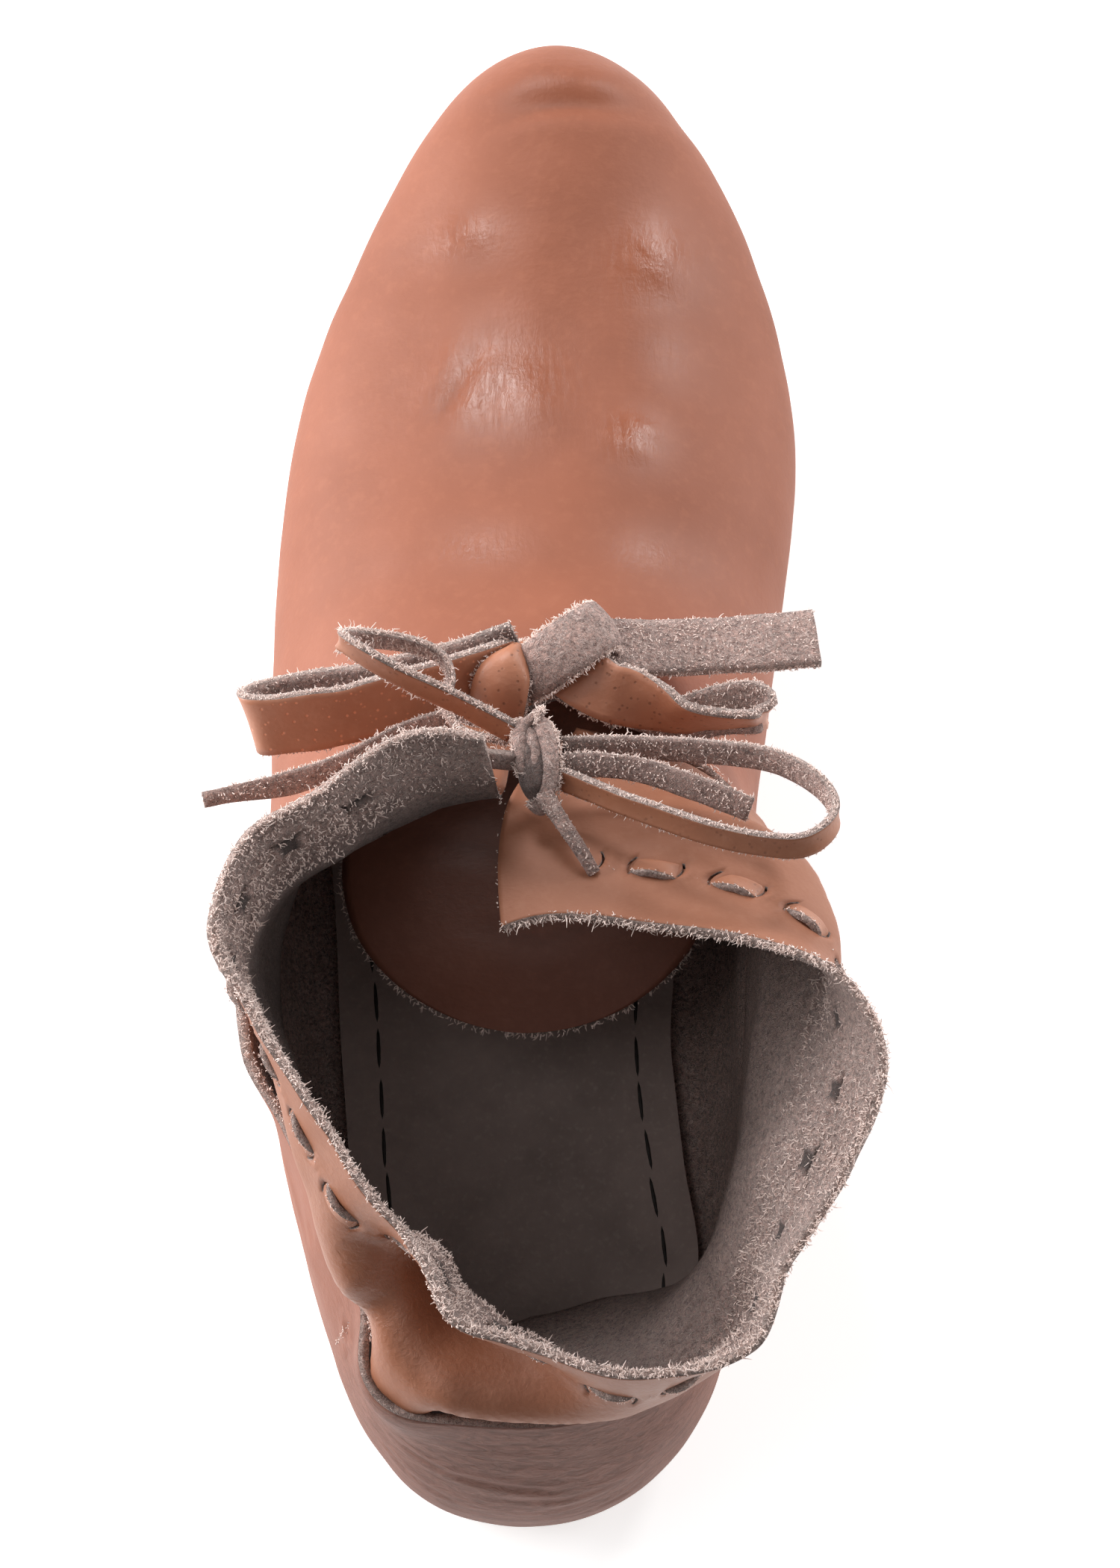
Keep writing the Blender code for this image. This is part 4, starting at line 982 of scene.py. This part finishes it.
def through(points, samples):
    """Smooth curve through given points."""
    points = np.array(points, float)
    ends = np.vstack([2 * points[0] - points[1], points, 2 * points[-1] - points[-2]])
    curve = []
    for t in np.linspace(0, len(points) - 1, samples):
        k = min(int(t), len(points) - 2)
        f = t - k
        a, b, c, d = ends[k:k + 4]
        curve.append(0.5 * (2 * b + (c - a) * f + (2 * a - 5 * b + 4 * c - d) * f * f
                            + (3 * b - a - 3 * c + d) * f ** 3))
    return np.array(curve)


def strip_columns(path, across, widths, cup=0.0, rows=8, seed=1):
    """Points of a flat strip: its path, the direction of its width, and a little hand-cut sway."""
    path, across = np.array(path, float), np.array(across, float)
    along = np.gradient(path, axis=0)
    along /= np.linalg.norm(along, axis=1)[:, None]
    wide = across - np.sum(across * along, axis=1)[:, None] * along
    wide /= np.linalg.norm(wide, axis=1)[:, None]
    face = np.cross(along, wide)
    columns = []
    for k, (p, w, f) in enumerate(zip(path, wide, face)):
        sway = 1 + 0.07 * noise.noise(Vector((k * 0.11, seed * 7.3, 0.5)))
        ts = np.linspace(-1, 1, rows + 1)
        columns.append([p + 0.5 * widths[k] * sway * t * w + cup * (t * t - 0.4) * f for t in ts])
    return columns, wide, face


def off_shaft(run, down, off):
    """A point off the shaft's outer face, below its cut edge, with the upward and outward directions."""
    (high, here, low), _ = on_shaft(run, [down - 2.0, down, down + 2.0])
    beside, _ = on_shaft(run + 0.5, [down])
    up = (high - low) / np.linalg.norm(high - low)
    normal = np.cross(up, beside[0] - here)
    normal /= np.linalg.norm(normal)
    return here + off * normal, up, normal


mid_wall = -SHAFT_WALL / 2
INSIDE = SLOT_PERIOD - BAR_END + BAR_START
weave = []
for period in range(-1, PERIODS):
    start = FIRST_SLOT + period * SLOT_PERIOD
    ends = LAST_BAR_SHARE if period == PERIODS - 1 else 1.0
    for t in np.linspace(0, ends, 13) if period >= 0 else ():
        swell = math.sin(math.pi * t) ** 0.5
        rise = mid_wall + (BAR_RISE - mid_wall) * swell
        wide = BAR_WIDE * (0.75 + 0.25 * swell)
        weave.append((start + BAR_START + (BAR_END - BAR_START) * t, rise, wide, BAR_TILT * swell, 0.0))
    for t in np.linspace(0, 1, 9)[1:-1] if period < PERIODS - 1 else ():
        rise = mid_wall + (INSIDE_RISE - mid_wall) * math.sin(math.pi * t) ** 0.5
        weave.append((start + BAR_END + INSIDE * t, rise, INSIDE_SHARE * BAR_WIDE, 0.0, 1.0))
for run in np.linspace(weave[-1][0], EDGE_LONG - KNOT_SHORT, 9)[1:]:
    weave.append((run, END_RISE, BAR_WIDE, 0.0, 0.0))
thong_path, thong_down = [], []
for run, rise, _, tilt, _ in weave:
    spot, up, normal = off_shaft(run, slot_down(run), rise)
    thong_path.append(spot)
    thong_down.append(-up - tilt * normal)
thong_path.append(np.array(KNOT_LEFT))
thong_down.append(thong_down[-1])
weave.append(weave[-1])
thong_widths = [wide for _, _, wide, _, _ in weave]
columns, thong_ways, _ = strip_columns(thong_path, thong_down, thong_widths, THONG_CUP)
columns = np.array(columns)
# The thong's inside lengths get painted shade on their flesh side and edges.
inside_shade = np.array([inside for *_, inside in weave])[:, None] * np.ones(columns.shape[1])
bm = leather_grid(columns, pocket=inside_shade)
work_leather(bm, (), (), (), ((6, 0.1),))
add_hide("thong_strip", bm, thong_leather, suede, THONG_THICK, "thong")
low_hairs = edge_hairs(columns[:, 0], -thong_ways, *THONG_FIBRES, random.Random(14))
plant("thong_fibres", low_hairs)

# The strap is a wider strip that passes inside the quarters, comes out through a slit on each side of
# the heel and over the throat, and is tied there. Short lengths show beside the heel and under its knot.
STRAP_WIDE, STRAP_THICK = 11.5, 1.8
ROUTE_SAMPLES, STRIP_STEP, START_SHADE_REACH = 24, 0.8, 7.0
STRAP_POINTS = ((-13, -3, 78.6), (-6, 2.5, 77.8), (3, 5.5, 76.9), (10, 3, 77.6), (16, -2, 78.4))
STRAP_ACROSS = ((7.5, -8.6, 0), (3.5, -10.9, 0), (0, -11.5, 0), (-3.5, -10.9, 0), (-7.5, -8.6, 0))
STANDING_POINTS = ((-4.6, 6.6, 86.8), (-5.4, 4.4, 88.6), (-6.8, 1.2, 89), (-8.2, -2.6, 87), (-9, -6.6, 82))
STANDING_ACROSS = ((2.6, -0.8, -1), (5.4, -2, -0.6), (8.4, -3, 0), (9.8, -3.2, 0), (10, -3, 0))
STRAP_TONES = (0.47, 0.198, 0.115), (0.38, 0.15, 0.083), (0.54, 0.26, 0.168)
strap_leather = grain_finish("strap grain", STRAP_TONES, 0.36, 0.2, dots=0.6)
# The left strap loop's copy paints its pores pale, as painted glints where they catch the light.
glinting_loop_leather = grain_finish("strap grain, pale pores", STRAP_TONES, 0.36, 0.2, dots=0.6, dot_tone=2.2)


def turning(directions, count):
    """Directions given in order, turned evenly over a number of places."""
    directions = np.array(directions, float)
    turn = np.linspace(0, len(directions) - 1, count)
    return at_runs(directions, np.arange(len(directions)), turn)


def add_strip(name, points, across, wide, thick, grain_up, finish, node, cup=0.25, taper=None,
              fuzz=(8.0, 0.65), start_shade=0.0, seed=1):
    """A strip of hide along a route, grain on one face, with fibres on its edges, ends and flesh side."""
    samples = ROUTE_SAMPLES * (len(points) - 1)
    path = through(points, samples)
    ways = through(turning(across, len(points)), samples)
    steps, _, long = evenly(path, STRIP_STEP)
    run = runs(path)
    ways = at_runs(ways, run, np.linspace(0, run[-1], len(steps)))
    widths = wide * np.linalg.norm(ways, axis=1)
    if taper:
        widths *= np.interp(np.linspace(0, 1, len(steps)), *taper)
    columns, wide_dir, face = strip_columns(steps, ways if grain_up else -ways, widths, cup, seed=seed)
    grid = np.array(columns)
    # Painted shadow darkens the flesh side and edges of each strip near its start, where it leaves a knot.
    drawn = start_shade * np.exp(-(np.linspace(0, long, len(grid)) / START_SHADE_REACH) ** 2)
    bm = leather_grid(grid, pocket=np.repeat(drawn[:, None], grid.shape[1], axis=1))
    work_leather(bm, (), (), (), ((10, 0.25), (4, 0.1)))
    piece = add_hide(name + "_strip", bm, finish, suede, thick, node)
    chance = random.Random(seed)
    hairs = []
    behind = grid - 0.5 * thick * face[:, None]
    for edge, aims in ((behind[:, 0], -wide_dir), (behind[:, -1], wide_dir)):
        hairs += edge_hairs(edge, aims, 0.6 * thick, 1.3 * fuzz[0], fuzz[1], chance)
    for edge in (behind[:2, ::2], behind[-2:, ::2]):
        hairs += edge_hairs(edge[0], edge[0] - edge[1] + 0.01, 0.6 * thick, fuzz[0], fuzz[1], chance)
    flesh = grid - thick * face[:, None]
    inward = np.repeat(-face[:, None], flesh.shape[1], axis=1)
    hairs += nap_hairs(flesh, inward, 0.2 * fuzz[0], fuzz[1], chance)
    fibres = plant(name + "_fibres", hairs)
    return piece, fibres, steps, long


def off_wall(y, side, level, outward):
    """A point off the low shoe's outer face, at a share of the way from its widest level to its top."""
    first = MARGIN_ROWS + LOWER_ROWS
    walls = [wall_section(y + step, side)[first:] for step in (-0.2, 0.0, 0.2)]
    rows = np.linspace(0, 1, UPPER_ROWS + 1)
    before, here, after = (at_runs(wall, rows, [level])[0] for wall in walls)
    up = at_runs(walls[1], rows, [level + 0.01])[0] - here
    normal = np.cross(after - before, up) * side
    return here + outward * normal / np.linalg.norm(normal)


add_strip("strap", STRAP_POINTS, STRAP_ACROSS, 1.0, STRAP_THICK, False, strap_leather, "strap", seed=21)
add_strip("strap_standing", STANDING_POINTS, STANDING_ACROSS, 1.0, STRAP_THICK, True, strap_leather,
          "strap", cup=-1.4, seed=22)
BAR_FRONT_Y, BAR_BACK_Y, BAR_LOW, BAR_HIGH = -113.0, -121.0, 0.42, 0.78
BAR_SWELL, BAR_SINK = 1.1, 1.0
for side, name in ((-1, "strap_bar_left"), (1, "strap_bar_right")):
    columns = []
    for t in np.linspace(0, 1, 17):
        y = BAR_BACK_Y + (BAR_FRONT_Y - BAR_BACK_Y) * t
        swell = BAR_SWELL * math.sin(math.pi * t) ** 0.6 - BAR_SINK
        columns.append([off_wall(y, side, level, swell) for level in np.linspace(BAR_LOW, BAR_HIGH, 11)])
    columns = columns if side > 0 else columns[::-1]
    # The bars beside the heel carry the same painted heel shade.
    bm = leather_grid(columns, soil=heel_soil(columns))
    work_leather(bm, (), (), (), ((6, 0.15),))
    add_hide(name + "_strip", bm, grain_leather, suede, STRAP_THICK, name)

# Both bows are tied from the free lengths of the thong and the strap. Each loop turns its grain out,
# so its inside shows the grey flesh, and the short ends lie flesh side up and are cut square.
THONG_ROUTES = {
    "thong_loop_right": (
        ((3.4, -15.2, 99), (16, -14.8, 98), (30, -15.6, 98), (41, -17.4, 99), (49, -22.4, 102),
         (52.3, -28.6, 106), (50.7, -33.5, 109), (45, -36.6, 110), (36, -35.8, 110), (27, -33.3, 109),
         (16, -28.6, 106), (6, -23.6, 101.8), (0.6, -20.6, 99.6)),
        ((0, 0.7, 0.7),), False, None),
    "thong_loop_left": (
        ((-5.4, -13.3, 99.5), (-16.5, -8.5, 104), (-27.5, -4.1, 108), (-33.5, -0.6, 108.5),
         (-36.6, 2.6, 106), (-33, 4.6, 102), (-25, 4.6, 98.5), (-18.5, 2.6, 96.5), (-16, -1.5, 95.5),
         (-16.6, -6.5, 95.3), (-14, -10.5, 95.3), (-6, -12.5, 95.5)),
        ((0.1, 0.5, 0.86), (0.1, 0.3, 0.95), (0.1, -0.5, 0.85)), False, None),
    "thong_end_right": (
        ((3.0, -18.8, 99.5), (10, -18.8, 100.6), (18, -20, 101), (27, -23, 101), (37, -27.1, 101)),
        ((0.2, 0.8, 0.55),), False, None),
    "thong_end_left": (
        ((-3, -12.5, 96), (-9, -8.6, 91), (-16, -7, 88.4), (-25, -9.8, 88), (-36, -15.5, 88.5),
         (-46, -19.4, 89.5), (-54, -21.2, 90), (-61, -22.7, 90)),
        ((0.1, 0.6, 0.8), (0, 0.9, 0.4)), True, ((0.0, 0.75, 1.0), (1.0, 1.0, 0.3))),
}
STRAP_ROUTES = {
    "strap_loop_left": (
        ((-4, 7.5, 83), (-14, 4.6, 80.5), (-24, 2.1, 79.2), (-34, 0, 78.6), (-43, -1.2, 78.4),
         (-50.5, -3, 79.2), (-53.6, -6, 82.6), (-51.4, -8.4, 85.6), (-44, -8, 86.6), (-34, -6.4, 87),
         (-24, -3.4, 87.3), (-15.5, 0.2, 86.6), (-9.5, 3.2, 85.6), (-5, 6, 84.6)),
        ((0, 7, 9), (0, 8.2, 8), (0, 8.2, 8), (0, 8.2, 8), (0, 8.2, 8), (-2, 8, 8), (-3.5, 7.5, 8),
         (-2, 8, 8), (0, 8.2, 8), (0, 8.2, 8), (0, 7.6, 7.8), (0, 6.4, 6.6), (0, 5, 5), (0, 3.6, 3.6)),
        True),
    "strap_loop_right": (
        ((3.5, 3.5, 85), (8.1, 0, 86.6), (11.5, -2, 86.6), (15.1, -3, 86.2), (20.1, -5.1, 85.6),
         (24.4, -6.9, 85), (30.1, -7.4, 84), (34.7, -7.4, 83), (38.6, -7, 82.2), (40.6, -5, 82.2),
         (38, -3.4, 82.2), (31.8, -3.6, 81), (25.9, -4.6, 79.4), (19.5, -3.4, 78.2), (13, -1, 78)),
        ((6.6, 8.6, 1), (6, 8.6, 2.4), (4.6, 8.8, 4), (3.4, 8.6, 5.5), (2, 5.5, 8.5), (1, 2.2, 10.3),
         (0, 0.5, 10.8), (0, 0.1, 10.8), (0, 0.6, 10.4), (0.6, 4.4, 8), (0, 7.6, 5.4), (0, 7.6, 5.4),
         (0, 6.4, 5), (0, 6, 4.5), (0, 6, 4)), True),
    "strap_end_right": (
        ((8, 7.6, 80), (20, 8.3, 77), (30, 9, 75.8), (40, 9.8, 74.8), (49.8, 10.9, 74.2)),
        ((0, 10.8, -3.6),), False),
}
THONG_LOOP_WIDE, THONG_LOOP_THICK, STANDING_THICK = 4.0, 1.5, 1.2
THONG_FUZZ, FURRY_FUZZ, STANDING_FUZZ = (9.0, 0.7), (12.0, 1.0), (10.0, 0.6)
THONG_START_SHADE, STRAP_START_SHADE = 0.4, 0.6
strips = {}
for seed, (name, (points, across, grain_up, taper)) in enumerate(THONG_ROUTES.items(), 31):
    fuzz = FURRY_FUZZ if name == "thong_loop_left" else THONG_FUZZ
    strips[name] = add_strip(name, points, across, THONG_LOOP_WIDE, THONG_LOOP_THICK, grain_up,
                             thong_leather, name, taper=taper, fuzz=fuzz, start_shade=THONG_START_SHADE, seed=seed)
for seed, (name, (points, across, grain_up)) in enumerate(STRAP_ROUTES.items(), 41):
    finish = glinting_loop_leather if name == "strap_loop_left" else strap_leather
    strips[name] = add_strip(name, points, across, 1.0, STRAP_THICK, grain_up, finish, name,
                             start_shade=STRAP_START_SHADE, seed=seed)
STANDING_ROUTE = ((0.2, -24.6, 101), (2.6, -28.6, 101), (5.2, -32.4, 100.4), (7.4, -35.7, 99.2),
                  (8.9, -37.9, 97.4))
add_strip("thong_standing", STANDING_ROUTE, ((0.83, 0.56, 0.1),), THONG_LOOP_WIDE, STANDING_THICK, False,
          thong_leather, "thong", taper=((0.0, 1.0), (0.6, 0.25)), fuzz=STANDING_FUZZ, seed=36)

# The knots are the same strips drawn up tight: the thong's is a few crossing turns of flesh side over a
# packed heart, and the strap's is one turn, pressed flat, that shows a square of flesh side.
KNOT_TURNS = {
    "thong_knot": (
        (((-1.6, -9.8, 98.6), (-1, -10.6, 101), (0.4, -14, 102.8), (1.2, -18, 103.2), (1.2, -22, 102.6),
          (0.2, -25.6, 101), (-1.2, -27.6, 98.6)), ((3.0, 0.2, 0.5),)),
        (((-0.8, -10, 100.4), (-2.4, -10.2, 101.6), (-3.9, -13.2, 102), (-3.8, -16.4, 101.8),
          (-3.4, -19.6, 101.2), (-1.8, -21.6, 99.8)),
         ((0.6, 2.6, 0.4), (2, 1.9, 0.2), (2.7, 0.5, 0), (2.7, -0.2, 0), (2.4, 1, 0), (2, 1.7, 0))),
        (((-3.2, -11.6, 101), (-1.9, -14.6, 102.3), (-1.3, -18.6, 102.5), (-1.7, -22.2, 101.4)),
         ((2.3, 0.4, 0),)),
    ),
    "strap_knot": (
        (((12.2, 11.6, 79.5), (12.2, 11.6, 85), (9.8, 9.8, 89), (5, 6.2, 90.2), (1, 3.4, 89.4),
          (-2, 1.6, 87.4), (-3.6, 0.9, 84), (-3.4, 0.4, 80)),
         ((5.2, -8.4, 0), (5.2, -8.4, 0), (5.2, -8.4, 0), (5, -8.6, -0.4), (4, -9, -1.2), (3, -9.2, -2),
          (2.6, -8, -2), (2, -6, -2))),
    ),
}
KNOT_HEARTS = {"thong_knot": ((-1.4, -18.2, 99.2), (3.0, 7.2, 3.5)),
               "strap_knot": ((4.6, 5.6, 82.4), (6.2, 5.4, 5.4))}
KNOT_THICK, KNOT_CUP, KNOT_FUZZ, HEART_SHADE = 1.5, -0.8, (16.0, 0.9), 0.75
knots = {}
for seed, (name, turns) in enumerate(KNOT_TURNS.items(), 51):
    knots[name] = []
    for k, (points, across) in enumerate(turns, 1):
        wrap = add_strip(f"{name}_turn_{k}", points, across, 1.0, KNOT_THICK, True, suede, name,
                         cup=KNOT_CUP, fuzz=KNOT_FUZZ, seed=seed + 10 * k)
        knots[name] += wrap[:2]
    spot, size = KNOT_HEARTS[name]
    bm = bmesh.new()
    shape = Matrix.Translation(Vector(spot) * MM) @ Matrix.Diagonal((*(Vector(size) * MM), 1.0))
    bmesh.ops.create_uvsphere(bm, u_segments=32, v_segments=20, radius=1.0, matrix=shape)
    work_leather(bm, (), (), (), ((4, 0.5), (1.5, 0.2)))
    # The heart is painted in shade all over, as it lies in the knot's shadow.
    shadow = bm.verts.layers.float.new("pocket")
    for v in bm.verts:
        v[shadow] = HEART_SHADE
    knots[name].append(add_piece(name + "_heart", bm, [suede], [name]))

# The loops and ends of the bows are free lengths of leather that leave the boot at their knots. The table
# pairs
# each with the pieces that go with it: each knot with its left loop, and the strap's right loop and right
# end with the strap's left loop.
CORDS = {
    "thong_loop_right": (),
    "thong_loop_left": knots["thong_knot"],
    "thong_end_right": (),
    "thong_end_left": (),
    "strap_loop_left": (*knots["strap_knot"], *strips["strap_loop_right"][:2],
                        *strips["strap_end_right"][:2]),
}
for name, carried in CORDS.items():
    piece, fibres, path, long = strips[name]
    wide = THONG_WIDE if name.startswith("thong") else STRAP_WIDE
    far = "object" if "loop" in name else "bare"
    path[0] * MM
    long * MM
    wide * MM
    path * MM

# A plain white floor that glows a little, as over a light table, and soft studio light: a tall panel on
# either side, the left one brighter, two small softboxes beyond the toe, a weak one overhead, and a dim
# even room.
FLOOR_HALF, FLOOR_WHITE, FLOOR_GLOW, ROOM_LIGHT, LIGHT_MIDDLE = 4.0, 0.92, 0.56, 0.27, (0, 0, 0.04)
WHITE = (1.0, 1.0, 1.0, 1.0)
bm = bmesh.new()
bmesh.ops.create_grid(bm, x_segments=1, y_segments=1, size=FLOOR_HALF)
floor_mesh = bpy.data.meshes.new("floor")
bm.to_mesh(floor_mesh)
bm.free()
floor = bpy.data.objects.new("floor", floor_mesh)
bpy.context.scene.collection.objects.link(floor)
paper, _, _ = start_finish("white paper", Base_Color=(*[FLOOR_WHITE] * 3, 1.0), Roughness=0.9,
                           Emission_Color=WHITE, Emission_Strength=FLOOR_GLOW)
floor_mesh.materials.append(paper)


def add_softbox(name, aim, distance, size, power):
    lamp = bpy.data.lights.new(name, "AREA")
    lamp.shape = "RECTANGLE"
    lamp.size, lamp.size_y = size
    lamp.energy = power
    thing = bpy.data.objects.new(name, lamp)
    away = Vector(aim).normalized()
    thing.location = away * distance + Vector(LIGHT_MIDDLE)
    thing.rotation_euler = away.to_track_quat("Z", "Y").to_euler()
    bpy.context.scene.collection.objects.link(thing)


add_softbox("panel left", (-0.8, 0.28, 0.19), 1.2, (0.8, 0.7), 22.5)
add_softbox("panel right", (0.8, 0.28, 0.19), 1.2, (0.8, 0.7), 8.5)
add_softbox("softbox left", (-0.25, 0.76, 0.6), 1.2, (0.28, 0.28), 6.0)
add_softbox("softbox right", (0.5, 0.73, 0.46), 1.2, (0.22, 0.22), 3.8)
add_softbox("overhead", (-0.42, -0.1, 0.9), 1.6, (0.6, 0.6), 1.8)
world = bpy.data.worlds.new("bright room")
world.use_nodes = True
room = world.node_tree.nodes["Background"]
room.inputs["Color"].default_value = WHITE
room.inputs["Strength"].default_value = ROOM_LIGHT
bpy.context.scene.world = world
bpy.context.scene.view_settings.view_transform = "Standard"

# The camera looks steeply down on the shoe from behind the heel, as the photo does, through a long lens.
# Its target and distance are in millimetres.
EYE_TARGET, EYE_DISTANCE, EYE_ELEVATION, EYE_LENS = (3.0, -7.5, 40.0), 1400.0, 76.0, 172.66
lens = bpy.data.cameras.new("camera")
lens.lens = EYE_LENS
lens.sensor_width = 36.0
lens.clip_start, lens.clip_end = 0.05, 20.0
camera = bpy.data.objects.new("camera", lens)
tilt = math.radians(EYE_ELEVATION)
back = Vector((0.0, -math.cos(tilt), math.sin(tilt)))
camera.location = (Vector(EYE_TARGET) + back * EYE_DISTANCE) * MM
camera.rotation_euler = back.to_track_quat("Z", "Y").to_euler()
bpy.context.scene.collection.objects.link(camera)
bpy.context.scene.camera = camera

bpy.context.view_layer.update()
